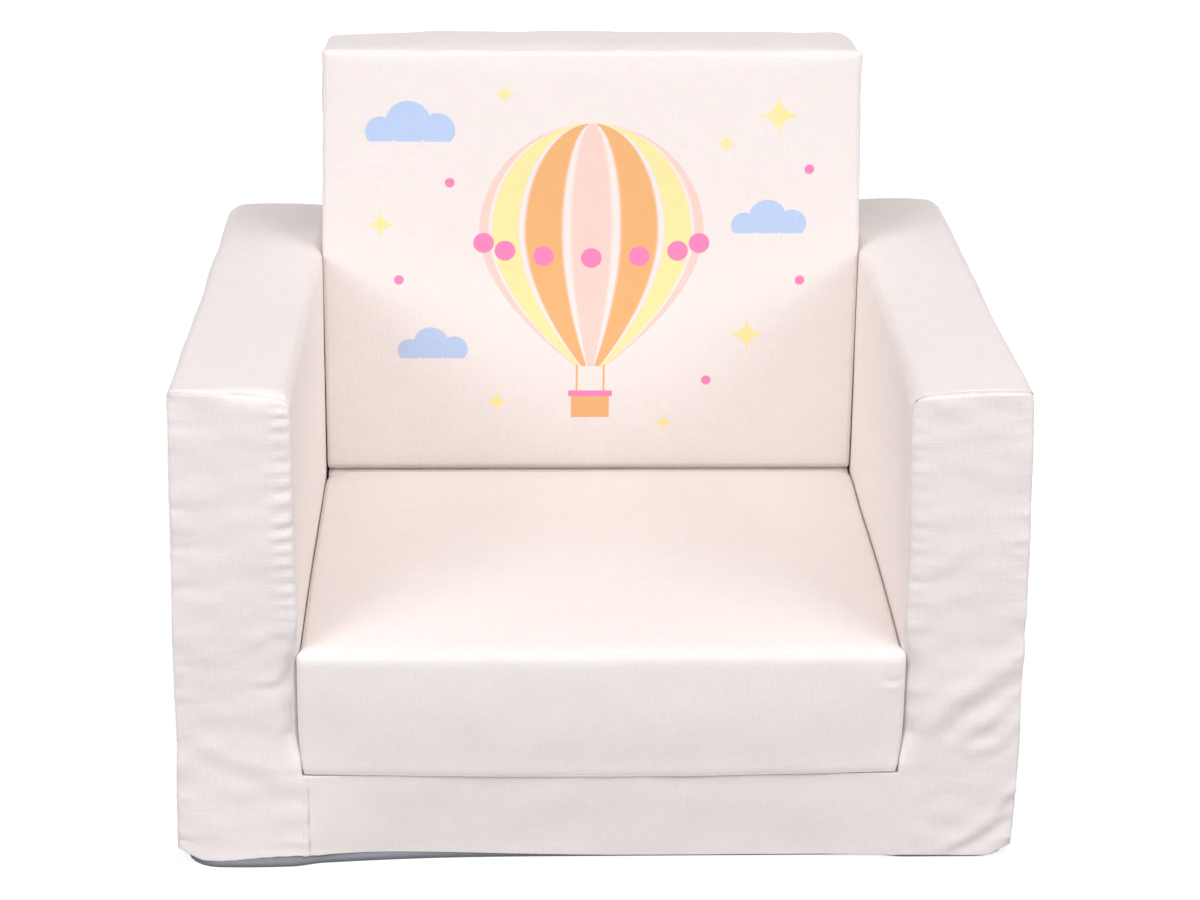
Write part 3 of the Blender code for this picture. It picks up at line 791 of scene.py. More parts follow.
row_tree = bpy.data.node_groups.new("row_of_items", "GeometryNodeTree")
row_sockets = {"Path": "Geometry", "Item": "Object", "Spacing": "Float", "Finish": "Material"}
for word, kind in row_sockets.items():
    row_tree.interface.new_socket(word, in_out="INPUT", socket_type=f"NodeSocket{kind}")
row_tree.interface.new_socket("Row", in_out="OUTPUT", socket_type="NodeSocketGeometry")
row = Finish("row", row_tree)
row_ends = row_tree.nodes.new("NodeGroupInput").outputs
path, item, spacing, row_finish = [Wire(row, row_ends[word]) for word in row_sockets]
line = row.node("GeometryNodeMeshToCurve", None, {0: path})
marks = row.node("GeometryNodeResampleCurve", {"mode": "LENGTH"}, {"Curve": line, "Length": spacing})
item_form = row.node("GeometryNodeObjectInfo", None, {"Object": item}, output="Geometry")
forward = row.node("GeometryNodeInputTangent")
outward = row.node("GeometryNodeInputNamedAttribute", {"data_type": "FLOAT_VECTOR"}, {"Name": "out"})
turned = row.node("FunctionNodeAlignRotationToVector", {"axis": "X"}, {"Vector": forward})
turn_inputs = {"Rotation": turned, "Vector": outward}
turned = row.node("FunctionNodeAlignRotationToVector", {"axis": "Z", "pivot_axis": "X"}, turn_inputs)
item_inputs = {"Points": marks, "Instance": item_form, "Rotation": turned}
items = row.node("GeometryNodeInstanceOnPoints", None, item_inputs)
items = row.node("GeometryNodeRealizeInstances", None, {0: items})
items = row.node("GeometryNodeSetMaterial", None, {"Geometry": items, "Material": row_finish})
row.feed(row_tree.nodes.new("NodeGroupOutput").inputs[0], items)
row_inputs = {socket.name: socket.identifier for socket in row_tree.interface.items_tree}


def row_along(name, points, outward, item, spacing, finish):
    """The item repeated along a line of places, its Z turned out of the surface."""
    mesh = bpy.data.meshes.new(name)
    mesh.from_pydata(points.tolist(), [(i, i + 1) for i in range(len(points) - 1)], [])
    mesh.attributes.new("out", "FLOAT_VECTOR", "POINT").data.foreach_set("vector", outward.ravel())
    piece = put(name, mesh)
    repeat = piece.modifiers.new("row", "NODES")
    repeat.node_group = row_tree
    repeat[row_inputs["Item"]] = item
    repeat[row_inputs["Spacing"]] = spacing
    repeat[row_inputs["Finish"]] = finish
    return as_mesh(piece)


def laid_on(piece, places, lift):
    """The nearest places on a piece, raised a little, and the way out of it there."""
    mesh = piece.data
    tree = BVHTree.FromPolygons([v.co for v in mesh.vertices], [p.vertices for p in mesh.polygons])
    found = [tree.find_nearest(Vector(place)) for place in places]
    outward = np.array([normal for _, normal, _, _ in found])
    return np.array([spot for spot, _, _, _ in found]) + outward * lift, outward


def ring_faces(build, rings):
    """Faces that join each ring of corners to the next."""
    for first, second in zip(rings, rings[1:]):
        for here in range(len(first)):
            after = (here + 1) % len(first)
            build.faces.new((first[here], first[after], second[after], second[here]))


stitch_mesh = bpy.data.meshes.new("stitch")
stitch_turns = [turn * 2 * math.pi / STITCH_SIDES for turn in range(STITCH_SIDES)]
stitch_round = [(math.cos(turn), math.sin(turn)) for turn in stitch_turns]
stitch_size = Vector((STITCH_LENGTH, STITCH_THICK, STITCH_THICK))
with rebuilt(stitch_mesh) as build:
    rings = []
    for along, width, drop in STITCH_RINGS:
        ring = [(along, a * width / 2, (b * width + drop) / 2) for a, b in stitch_round]
        rings.append([build.verts.new(Vector(corner) * stitch_size) for corner in ring])
    ring_faces(build, rings)
    build.faces.new(rings[0])
    build.faces.new(rings[-1][::-1])
    bmesh.ops.recalc_face_normals(build, faces=build.faces)
stitch_mesh.shade_smooth()
stitch = bpy.data.objects.new("stitch", stitch_mesh)

for word, arm, seam in (("left", left_arm, left_seam), ("right", right_arm, right_seam)):
    sewn_line, outward = laid_on(arm, seam, -STITCH_SINK)
    stitches = row_along(f"{word}_arm_stitches", sewn_line, outward, stitch, STITCH_PITCH, thread_finish)
    belongs(stitches, "frame", "cover_cloth")

# Base
# A foam block between the arms, with a front panel and a deck cloth that the seat slab lies on.
BASE_EDGE = 0.0007
BASE_OVERLAPS = (0.0006, 0.0020)
BASE_SETBACK = 0.0013
BASE_TUCK = 0.0021
BASE_SEAM = -0.1830
BASE_SEAM_DEPTH = 0.0004
BASE_FRONT_REACH = 0.02
BASE_LEAST_LIFT = 0.0004
BASE_LIFTS = ((0.0050, 0.03, -0.19), (0.0004, 0.06, 0.18))
WALL_GAP = 0.0005
base_low = Vector(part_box("base_front_panel")[0])
base_high = Vector(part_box("base_top_panel")[1])
base_low.x -= BASE_OVERLAPS[0]
base_high.x += BASE_OVERLAPS[1]
base_high.y = wall_low.y - WALL_GAP


def base_shape(points):
    rounder(points, base_low, base_high)("-y+z", BASE_EDGE)
    x, y, z = points.T
    middle = np.clip(1 - np.abs(x / base_high.x) ** 6, 0, 1)
    at_front = share_of(y, base_low.y + BASE_FRONT_REACH, base_low.y)
    points[:, 1] += (BASE_SETBACK + BASE_TUCK * fade(z, base_high.z, 0.0)) * middle * at_front
    lift = BASE_LEAST_LIFT + sum(most * fade(x, start, end) for most, start, end in BASE_LIFTS)
    points[:, 2] += lift * share_of(z, HEM_HEIGHT, 0) * at_front
    points[:, 1] -= foot_forward(x, z) * at_front * fade(x, *BESIDE_LEFT_ARM)
    return points


def base_relief(places):
    x, y, z = places.T
    raised = seam_relief(np.abs(x - BASE_SEAM), z, 0.0004, depth=BASE_SEAM_DEPTH)
    uneven = 0.0008 * crumple(places, 0.030, 5.7) + 0.0003 * swell(places, 0.6)
    beside_arm = fade(x, base_high.x - 0.004, base_high.x - 0.03)
    return (raised + uneven * beside_arm) * lies_at(y, base_low.y)


base_edges = ((HEM_EDGE, HEM_EDGE), (BASE_EDGE, HEM_EDGE), (HEM_EDGE, BASE_EDGE))
base = cloth_block("base", base_low, base_high, base_edges, cover_cloth, base_shape, base_relief, coarse=[1])
belongs(base, "frame", "cover_cloth", "base_front_panel", "base_top_panel", "base_foam")

# Rear wall
# The foam block behind the back slab. Its cloth runs up its front, over the top and down the rear.


def wall_shape(points):
    roll = rounder(points, wall_low, wall_high)
    roll("-y+z", ARM_EDGE)
    roll("+y+z", ARM_REAR_ROLL)
    under_panel = (points[:, 2] < panel_high.z) & (points[:, 1] > wall_high.y - PANEL_TUCK)
    points[under_panel, 1] = wall_high.y - PANEL_TUCK
    return frame_lean(points)


def to_ends(value, low, high):
    """The distance to the nearer of two ends."""
    return np.minimum(value - low, high - value)


def wall_relief(places):
    x, y, z = places.T
    return seam_relief(to_ends(x, wall_low.x, wall_high.x), y, 0.0003) * lies_at(z, wall_high.z)


wall_edges = ((HEM_EDGE, HEM_EDGE), (ARM_EDGE, ARM_REAR_ROLL), (HEM_EDGE, ARM_REAR_ROLL))
rear_wall = cloth_block(
    "rear_wall", wall_low, wall_high, wall_edges, cover_cloth, wall_shape, wall_relief, coarse=[0]
)
belongs(rear_wall, "frame", "cover_cloth", "rear_wall_cover", "rear_wall_foam")

# Rear panel
# One flat piece of the cover cloth closes the frame's rear, sewn in just inside the round corners. A
# slot along its foot holds the zip through which the foam goes in.
SLOT_EASE = 0.0006
PANEL_THICK = 0.0010
PANEL_SEAM_DIP = 0.0008
PANEL_SEAM_WIDTH = 0.0016
PANEL_DENTS = 0.0011
PANEL_RIPPLES = 0.0006
PANEL_RIPPLE_REACH = 0.010
frame_zip_low, frame_zip_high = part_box("frame_zip")
slot_x = (frame_zip_low.x - SLOT_EASE, frame_zip_high.x + SLOT_EASE)
slot_z = (frame_zip_low.z - SLOT_EASE, frame_zip_high.z + SLOT_EASE)


def lines_through(*stops):
    """Places along a line that pass through every stop."""
    runs = []
    for start, end in zip(stops, stops[1:]):
        runs.append(np.linspace(start, end, max(1, round((end - start) / GRID)) + 1)[:-1])
    return np.concatenate([*runs, stops[-1:]])


panel_x = lines_through(panel_low.x, *slot_x, panel_high.x)
panel_z = lines_through(panel_low.z, *slot_z, panel_high.z)
panel_grid = np.stack(np.meshgrid(panel_x, [panel_high.y], panel_z, indexing="ij"), axis=-1)[:, 0]
panel_flats = panel_grid[:, :, (0, 2)]
to_sides = to_ends(panel_grid[..., 0], panel_low.x, panel_high.x)
to_edge = np.minimum(to_sides, panel_high.z - panel_grid[..., 2])
dents = crumple(panel_grid.reshape(-1, 3), 0.045, 4.4).reshape(to_edge.shape)
panel_ripple = ripple(panel_grid[..., 0] + panel_grid[..., 2]) * np.exp(-to_edge / PANEL_RIPPLE_REACH)
panel_grid[..., 1] += PANEL_DENTS * dents + PANEL_RIPPLES * panel_ripple
panel_grid[..., 1] -= PANEL_SEAM_DIP * bell(to_edge, PANEL_SEAM_WIDTH)
panel_places = frame_lean(panel_grid.reshape(-1, 3).copy()).reshape(panel_grid.shape)
rear_panel = cloth_grid("rear_panel", panel_places[::-1], cover_cloth, panel_flats[::-1])
with rebuilt(rear_panel.data) as build:
    middles = {face: face.calc_center_median() for face in build.faces}
    in_slot = [
        face
        for face, middle in middles.items()
        if slot_x[0] < middle.x < slot_x[1] and slot_z[0] < middle.z < slot_z[1]
    ]
    bmesh.ops.delete(build, geom=in_slot, context="FACES")
thickened(rear_panel, PANEL_THICK)
belongs(rear_panel, "frame", "cover_cloth", "frame_back_panel")

# Zips
# Nylon coil zips on woven tapes, one for each cover. Each slider is a die-cast body with a bridge and a
# looped pull. The tape is sewn down along both sides.
ZIP_HALF_TAPE = 0.005
ZIP_TAPE_THICK = 0.0005
ZIP_STITCH_LINE = 0.0038
TOOTH_PITCH = 0.00135
TOOTH_SIZE = (0.0010, 0.0036, 0.0008)
TOOTH_BEVEL = 0.00026
COIL_INSET = 0.002
SLIDER_START = 0.012
SLIDER_BODY = [(-0.0042, 0.0018), (-0.0030, 0.0030), (0.0012, 0.0030), (0.0042, 0.0019)]
SLIDER_PLATE = (0.0009, 0.0015)
SLIDER_BRIDGE = (0.0015, 0.0022)
SLIDER_PULL = (0.0016, 0.0021)
SLIDER_BEVEL = 0.00018
TWILL_PITCH = 0.0011
zip_tape = Finish("zip_tape")
tape_u, tape_v, _ = zip_tape.parts(zip_tape.node("ShaderNodeUVMap", {"uv_map": "cloth"}))
twill = ((tape_u + tape_v.maths("ABSOLUTE")) * (2 * math.pi / TWILL_PITCH)).maths("SINE")
zip_tape_finish = zip_tape.finished(
    Base_Color=zip_tape.mixed(twill * 0.25 + 0.5, printed(232, 220, 216), printed(216, 203, 199)),
    Roughness=0.75,
    Normal=zip_tape.bump(twill, 0.7, 0.00006),
)
nylon_colours = (printed(238, 228, 224), printed(222, 210, 206))
zip_nylon_finish = speckled("zip_nylon", 1200, 2.0, nylon_colours, 0.3, 0.2)
metal_colours = (printed(205, 206, 208), printed(168, 169, 172))
slider_metal_finish = speckled(
    "slider_metal", 900, 4.0, metal_colours, 0.22, 0.25, (0.3, 0.00004, 4000, 1.0), Metallic=1.0
)

tooth_mesh = bpy.data.meshes.new("tooth")
with rebuilt(tooth_mesh) as build:
    bmesh.ops.create_cube(build, size=1.0, matrix=Matrix.Diagonal((*TOOTH_SIZE, 1.0)))
    bmesh.ops.bevel(build, geom=build.edges[:], offset=TOOTH_BEVEL, segments=1, affect="EDGES")
tooth_mesh.shade_smooth()
tooth = bpy.data.objects.new("tooth", tooth_mesh)


def rounded_outline(middle, half_long, half_wide, radius):
    """A round-cornered outline, the same number of places for any size."""
    outline = []
    for turn, (sign_a, sign_b) in enumerate(((1, 1), (-1, 1), (-1, -1), (1, -1))):
        centre = (middle + sign_a * (half_long - radius), sign_b * (half_wide - radius))
        for angle in np.radians(np.linspace(90 * turn, 90 * turn + 90, 5)):
            outline.append((centre[0] + radius * math.cos(angle), centre[1] + radius * math.sin(angle)))
    return outline


def build_plate(build, outline, low, high, hole=None):
    """A flat part between two heights, with an outline and a hole of as many places."""
    loops = [[build.verts.new((a, b, height)) for a, b in outline] for height in (low, high)]
    if hole:
        loops += [[build.verts.new((a, b, height)) for a, b in hole] for height in (high, low)]
        loops.append(loops[0])
    else:
        build.faces.new(loops[0][::-1])
        build.faces.new(loops[1])
    ring_faces(build, loops)


slider_mesh = bpy.data.meshes.new("slider")
slider_outline = [(along, -across) for along, across in SLIDER_BODY][::-1] + SLIDER_BODY
pull_hole = rounded_outline(0.0090, 0.0062, 0.0012, 0.0010)
with rebuilt(slider_mesh) as build:
    build_plate(build, slider_outline, *SLIDER_PLATE)
    build_plate(build, rounded_outline(0.0, 0.0026, 0.0007, 0.0003), *SLIDER_BRIDGE)
    build_plate(build, rounded_outline(0.0115, 0.0095, 0.0024, 0.0020), *SLIDER_PULL, pull_hole)
    bmesh.ops.recalc_face_normals(build, faces=build.faces)


def make_zip(word, middle, across, outward, body):
    """A zip along X on a surface, from its middle, the way across it and the way out of it."""
    low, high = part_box(f"{word}_zip")
    turn = np.array([(1.0, 0.0, 0.0), across, outward])
    handed = np.linalg.det(turn) > 0

    def placed(points):
        return np.array(middle) + np.array(points) @ turn

    stops = np.linspace(low.x, high.x, 70)
    sides = np.linspace(-ZIP_HALF_TAPE, ZIP_HALF_TAPE, 9)
    flats = np.stack(np.meshgrid(stops, sides, indexing="ij"), axis=-1)[:: 1 if handed else -1]
    heights = np.full((*flats.shape[:2], 1), ZIP_TAPE_THICK)
    tape_places = placed(np.concatenate([flats, heights], axis=-1))
    tape = cloth_grid(f"{word}_zip_tape", tape_places, zip_tape_finish, flats)
    thickened(tape, ZIP_TAPE_THICK - 0.0001)
    belongs(tape, body, "zip_plastic", f"{word}_zip")
    coil_height = ZIP_TAPE_THICK + TOOTH_SIZE[2] * 0.4
    coil_stops = np.linspace(low.x + COIL_INSET, high.x - COIL_INSET, 60)
    coil_line = placed([(x, 0, coil_height) for x in coil_stops])
    facing = np.tile(outward, (len(coil_line), 1)).astype(float)
    rows = [("teeth", coil_line, tooth, TOOTH_PITCH, zip_nylon_finish)]
    for side, across_tape in (("lower", -ZIP_STITCH_LINE), ("upper", ZIP_STITCH_LINE)):
        sewn_line = placed([(x, across_tape, 0.0007) for x in np.linspace(low.x, high.x, 60)])
        rows.append((f"stitches_{side}", sewn_line, stitch, STITCH_PITCH, thread_finish))
    for kind, places, item, spacing, finish in rows:
        made = row_along(f"{word}_zip_{kind}", places, facing, item, spacing, finish)
        belongs(made, body, "zip_plastic")
    pull_places = read_vectors(slider_mesh.vertices, "co") + (low.x + SLIDER_START + 0.0042, 0, 0)
    mesh = slider_mesh.copy()
    mesh.vertices.foreach_set("co", placed(pull_places).astype(np.float32).ravel())
    if not handed:
        mesh.flip_normals()
    slider = new_piece(f"{word}_zip_pull", mesh, slider_metal_finish)
    soft_edges = slider.modifiers.new("soft_edges", "BEVEL")
    soft_edges.width = SLIDER_BEVEL
    soft_edges.segments = 2
    as_mesh(slider)
    belongs(slider, body, "zip_slider_metal", f"{word}_zip_slider")


frame_zip_middle = (0, frame_zip_low.y, (frame_zip_low.z + frame_zip_high.z) / 2)
make_zip("frame", frame_zip_middle, (0, 0, 1), (0, 1, 0), "frame")

# Seat slab
# A firm foam slab in a boxed cover: a top panel, a bottom panel and a band between two seams.
SEAT_EDGE = 0.0034
SEAT_FRONT_EDGE = 0.0085
SEAT_REAR_EDGE = 0.002
SEAT_LOW_EDGE = 0.0016
SEAT_FRONT_CORNER = 0.0040
SEAT_REAR_CORNER = 0.003
SEAT_LOW_CORNERS = (0.003, 0.0035)
SEAT_LIP = (0.0011, 0.0042)
SEAT_LIP_BULGE = 0.0008
SEAT_REAR_DROOPS = (0.0035, 0.0015)
SEAT_CROWN = 0.0012
SEAT_REAR_RISE = 0.0018
SEAT_BELLY = 0.0018
SEAT_FRONT_DROP = 0.0072
SEAT_CLEARANCE = 0.0005
SEAT_FRONT = (-0.16, -0.2)
SEAT_LIP_EDGE = (-0.2066, -0.2092)
SEAT_SPREAD_EDGE = (-0.199, -0.2085)
SEAT_REAR = (0.02, 0.07)
SEAT_DROP_REACH = 0.15
SEAT_DROOP_WIDTHS = (0.010, 0.014)
SEAT_BELLY_MARGIN = 0.018
SEAT_BELLY_REACH = 0.04
SEAT_SIDE_WAVE = 0.0004
SEAT_FRONT_BULGE = 0.0015
SEAT_FRONT_SPREADS = (0.0025, 0.0033)
ZIP_CHANNEL = 0.0016
ZIP_PROUD = 0.0003
CROWN_REACH = 0.080
COVER_PRESSURE = 4.0
SWELL_FRAMES = 14
SEAT_SWELL = 0.0010
seat_low, seat_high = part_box("seat_side_band")
seat_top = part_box("seat_top_panel")[1].z
seat_half = -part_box("left_arm_cover")[1].x - SEAT_CLEARANCE
seat_near = (-seat_half, seat_low.y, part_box("seat_bottom_panel")[0].z + SEAT_BELLY)
seat_far = (seat_half, seat_high.y, seat_top - SEAT_CROWN)


def eased(share):
    """From 0 to 1, fast at first and then slower."""
    return np.sin(np.clip(share, 0, 1) * math.pi / 2)


def slab_swell(share_u, share_v):
    """How far a slab's face has risen, from 0 at its edges to 1."""
    return eased(share_u) * eased(share_v)


def seat_shape(points):
    x, y, z = points.copy().T
    roll = rounder(points, seat_near, seat_far)
    for side, low_corner in zip("-+", SEAT_LOW_CORNERS):
        low_radius = SEAT_LOW_EDGE + (low_corner - SEAT_LOW_EDGE) * fade(y, *SEAT_FRONT)
        roll(side + "x+z", SEAT_EDGE)
        roll(side + "x-z", low_radius)
        roll(side + "x-y", SEAT_FRONT_CORNER)
        roll(side + "x+y", SEAT_REAR_CORNER)
    roll("-y+z", SEAT_FRONT_EDGE)
    roll("+y+z", SEAT_REAR_EDGE)
    roll("-y-z", SEAT_LOW_EDGE)
    roll("+y-z", SEAT_LOW_EDGE)
    margin_x = to_ends(x, seat_near[0], seat_far[0])
    margin_y = to_ends(y, seat_near[1], seat_far[1])
    height = (z - seat_near[2]) / (seat_far[2] - seat_near[2])
    risen = SEAT_CROWN * slab_swell(margin_x / CROWN_REACH, margin_y / CROWN_REACH)
    risen += SEAT_REAR_RISE * fade(y, *SEAT_REAR)
    risen -= SEAT_FRONT_DROP * (1 - eased((y - seat_near[1]) / SEAT_DROP_REACH))
    for end, droop in zip((seat_near[0], seat_far[0]), SEAT_REAR_DROOPS):
        risen -= droop * bell(x - end, SEAT_DROOP_WIDTHS[0]) * bell(y - seat_far[1], SEAT_DROOP_WIDTHS[1])
    points[:, 2] += risen * height
    belly = slab_swell(margin_x * 2 / CROWN_REACH, (margin_y - SEAT_BELLY_MARGIN) / SEAT_BELLY_REACH)
    points[:, 2] -= SEAT_BELLY * belly * lies_at(z, seat_near[2])
    lip = fade(y, *SEAT_LIP_EDGE) * fade(height, 0.25, 0.0)
    sag = SEAT_LIP[0] + (SEAT_LIP[1] - SEAT_LIP[0]) * np.cos(x * math.pi / 2 / seat_half)
    points[:, 2] -= sag * lip
    bulge = slab_swell(margin_x / CROWN_REACH, 2 * height) * np.clip(2 - 2 * height, 0, 1)
    points[:, 1] -= SEAT_LIP_BULGE * lip + SEAT_FRONT_BULGE * bulge * fade(y, *SEAT_FRONT)
    spread = np.where(x > 0, SEAT_FRONT_SPREADS[1], SEAT_FRONT_SPREADS[0]) * fade(y, *SEAT_SPREAD_EDGE)
    spread *= fade(np.abs(x), 0.168, seat_half) * (0.4 + 0.6 * fade(height, 0.0, 0.4))
    touching = 0.5 + 0.5 * np.sin(y * 47 + z * 60 + (x > 0) * 2.0) * np.sin(y * 113 + 1.0)
    touching *= (margin_x < 0.06 * CROWN_REACH) * np.sin(np.clip(height, 0, 1) * math.pi)
    points[:, 0] += np.sign(x) * (spread + SEAT_SIDE_WAVE * touching)
    return points


seat_zip_low, seat_zip_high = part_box("seat_zip")
seat_zip_z = (seat_zip_low.z + seat_zip_high.z) / 2


def zip_channel(along, across, reach):
    """The shallow channel that a zip is sewn into, so that it doesn't stand proud."""
    within = fade(np.abs(along), reach + 0.006, reach + 0.001)
    return ZIP_CHANNEL * fade(np.abs(across), 0.0085, 0.0055) * within


def seat_relief(places):
    x, y, z = places.T
    upper, along = end_seam(places, 2, seat_far[2], seat_near, seat_far)
    lower, along_low = end_seam(places, 2, seat_near[2], seat_near, seat_far)
    raised = seam_relief(upper, along, 0.0003) * 0.3 + seam_relief(lower, along_low, 0.0004) * 0.5
    raised += 0.0003 * swell(places, 1.1) * lies_at(z, seat_far[2])
    creased = 0.0006 * crumple(places, 0.035, 1.9)
    creased -= fold_relief(x, z, (0.174, 0.1345), (0.187, 0.1310), 0.0009, 0.0022)
    raised += creased * lies_at(y, seat_near[1])
    return raised - zip_channel(x, z - seat_zip_z, seat_zip_high.x) * lies_at(y, seat_far[1])


def swell_cover(piece, free, most):
    """Lets the free part of a cover swell under pressure as cloth, each point by no more than most."""
    before = read_vectors(piece.data.vertices, "co")
    held = piece.vertex_groups.new(name="held")
    held.add(np.flatnonzero(~free).tolist(), 1.0, "REPLACE")
    cover = piece.modifiers.new("cover", "CLOTH")
    cover.settings.vertex_group_mass = held.name
    cover.settings.use_pressure = True
    cover.settings.uniform_pressure_force = COVER_PRESSURE
    cover.settings.effector_weights.gravity = 0.0
    cover.collision_settings.use_collision = False
    cover.collision_settings.use_self_collision = False
    cover.point_cache.frame_end = SWELL_FRAMES
    for number in range(1, SWELL_FRAMES + 1):
        bpy.context.scene.frame_set(number)
    settled = piece.evaluated_get(bpy.context.evaluated_depsgraph_get())
    moved = read_vectors(settled.data.vertices, "co") - before
    piece.modifiers.clear()
    piece.vertex_groups.clear()
    far = np.linalg.norm(moved, axis=1, keepdims=True) + 1e-9
    move_to(piece.data, before + moved / far * most * np.tanh(far / most))
    bpy.context.scene.frame_set(1)


SEAT_BAND_MIDDLE = 0.108
SEAT_BAND_FREE = 0.032
HELD_MARGIN = 0.006
HELD_FRONT = 0.010


def seat_settle(piece, places):
    """Only the top panel and the front of the band have room to swell."""
    x, y, z = places.T
    on_top = lies_at(z, seat_far[2]) & (y > seat_near[1] + HELD_FRONT)
    on_front = lies_at(y, seat_near[1]) & (np.abs(z - SEAT_BAND_MIDDLE) < SEAT_BAND_FREE)
    within = (np.abs(x) < seat_half - HELD_MARGIN) & (y < seat_far[1] - HELD_MARGIN)
    swell_cover(piece, (on_top | on_front) & within, SEAT_SWELL)


seat_edges = ((SEAT_EDGE, SEAT_EDGE), (SEAT_EDGE, SEAT_REAR_EDGE), (SEAT_LOW_EDGE, SEAT_EDGE))
seat_slab = cloth_block(
    "seat_cushion", seat_near, seat_far, seat_edges, cover_cloth, seat_shape, seat_relief, seat_settle
)
seat_solids = ("seat_top_panel", "seat_side_band", "seat_bottom_panel", "seat_foam")
belongs(seat_slab, "seat_slab", "cover_cloth", *seat_solids)
seat_zip_middle = (0, seat_far[1] + ZIP_PROUD - ZIP_CHANNEL, seat_zip_z)
make_zip("seat", seat_zip_middle, (0, 0, 1), (0, 1, 0), "seat_slab")

# Back slab
# The same boxed foam slab, standing behind the seat's rear edge. Its front panel is printed.
BACK_EDGE = 0.0028
BACK_LOW_EDGE = 0.0065
BACK_REAR_EDGE = 0.005
BACK_FRONT_CORNER = 0.0025
BACK_REAR_CORNER = 0.011
BACK_TOP_CORNERS = (0.003, 0.009)
BACK_FULLNESS = 0.0004
BACK_SAG = 0.0014
BACK_CROWN = 0.0010
BACK_TAPER = 0.0034
BACK_TOP_DROP = 0.0018
BACK_LEFT_DROOP = 0.0030
BACK_SWELL = 0.0005
BACK_TOP_REACH = 0.04
BACK_TAPERED = (0.45, 1.0)
BACK_LEFT = (-0.10, -0.19)
back_low, back_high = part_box("back_side_band")
back_face_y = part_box("back_front_panel")[0].y
back_near = (back_low.x - BACK_FULLNESS, back_face_y + BACK_CROWN, back_low.z - BACK_SAG)
back_far = (back_high.x + BACK_FULLNESS, back_high.y, back_high.z)
face_middle = (back_near[2] + back_far[2]) / 2
back_zip_low, back_zip_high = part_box("back_zip")
back_zip_y = (back_zip_low.y + back_zip_high.y) / 2


def back_shape(points):
    x, y, z = points.copy().T
    to_rear = (y - back_near[1]) / (back_far[1] - back_near[1])
    roll = rounder(points, back_near, back_far)
    for side, corner in zip("-+", BACK_TOP_CORNERS):
        roll(side + "x+z", BACK_EDGE + corner * fade(to_rear, 0, 0.4))
        roll(side + "x-z", BACK_EDGE)
        roll(side + "x-y", BACK_FRONT_CORNER)
        roll(side + "x+y", BACK_REAR_CORNER)
    for side, edge in (("-", BACK_LOW_EDGE), ("+", BACK_EDGE)):
        roll(f"-y{side}z", edge)
        roll(f"+y{side}z", BACK_REAR_EDGE)
    margin_x = to_ends(x, back_near[0], back_far[0])
    margin_z = to_ends(z, back_near[2], back_far[2])
    risen = slab_swell(margin_x / CROWN_REACH, margin_z / CROWN_REACH)
    points[:, 1] -= BACK_CROWN * risen * lies_at(y, back_near[1])
    share = (z - back_near[2]) / (back_far[2] - back_near[2])
    points[:, 0] -= x / back_far[0] * BACK_TAPER * fade(share, *BACK_TAPERED)
    at_front = 1 - eased(to_rear * 1.6)
    droop = BACK_TOP_DROP * at_front + BACK_LEFT_DROOP * fade(x, *BACK_LEFT) * to_rear
    points[:, 2] -= droop * share_of(z, back_far[2] - BACK_TOP_REACH, back_far[2])
    return points


def back_relief(places):
    x, y, z = places.T
    front, along = end_seam(places, 1, back_near[1], back_near, back_far)
    rear, along_rear = end_seam(places, 1, back_far[1], back_near, back_far)
    raised = seam_relief(front, along, 0.0004) * 0.5 + seam_relief(rear, along_rear, 0.0005) * 0.6
    on_band = ~(lies_at(y, back_near[1]) | lies_at(y, back_far[1]))
    raised += 0.0010 * crumple(places, 0.030, 2.2) * on_band * fade(z, 0.33, 0.36)
    raised -= zip_channel(x, y - back_zip_y, back_zip_high.x) * lies_at(z, back_near[2])
    return raised + 0.0002 * swell(places, 2.9) * lies_at(y, back_near[1])


def back_settle(piece, places):
    """The front and rear panels and the top of the band swell; the ends stay clear of the arms."""
    x, y, z = places.T
    on_face = lies_at(y, back_near[1]) | lies_at(y, back_far[1])
    within = (np.abs(x) < back_far[0] - HELD_MARGIN) & (z > back_near[2] + HELD_FRONT)
    swell_cover(piece, (on_face | lies_at(z, back_far[2])) & within, BACK_SWELL)


PEACH = printed(254, 210, 198)
TAN = printed(240, 180, 120)
YELLOW = printed(252, 232, 162)
HOT_PINK = printed(253, 135, 185)
PERIWINKLE = printed(188, 206, 238)
INK_EDGE = 0.0005
BALLOON_HEIGHT = face_middle + 0.024
BALLOON_RADIUS = 0.078
BALLOON_DROP = 1.25
GORES = 7
BELT_SPOT = 0.0072
BELT_REACH = 0.985 * BALLOON_RADIUS
BELT_SAG = 0.014
BELT_DROP = 0.004
ROPE_SPREAD = 0.0095
BASKET_DROP = 0.029
CLOUDS = ((-0.126, 0.096, 1.0), (0.122, 0.030, 0.85), (-0.112, -0.062, 0.8))
STARS = (
    (0.128, 0.108, 0.017),
    (-0.060, 0.122, 0.009),
    (0.092, 0.088, 0.009),
    (-0.146, 0.030, 0.012),
    (0.110, -0.050, 0.015),
    (-0.066, -0.100, 0.010),
    (0.052, -0.116, 0.008),
)
DOTS = ((0.150, 0.070), (-0.098, 0.060), (0.146, -0.010), (-0.134, -0.010), (0.082, -0.084))
DOT_RADIUS = 0.0034


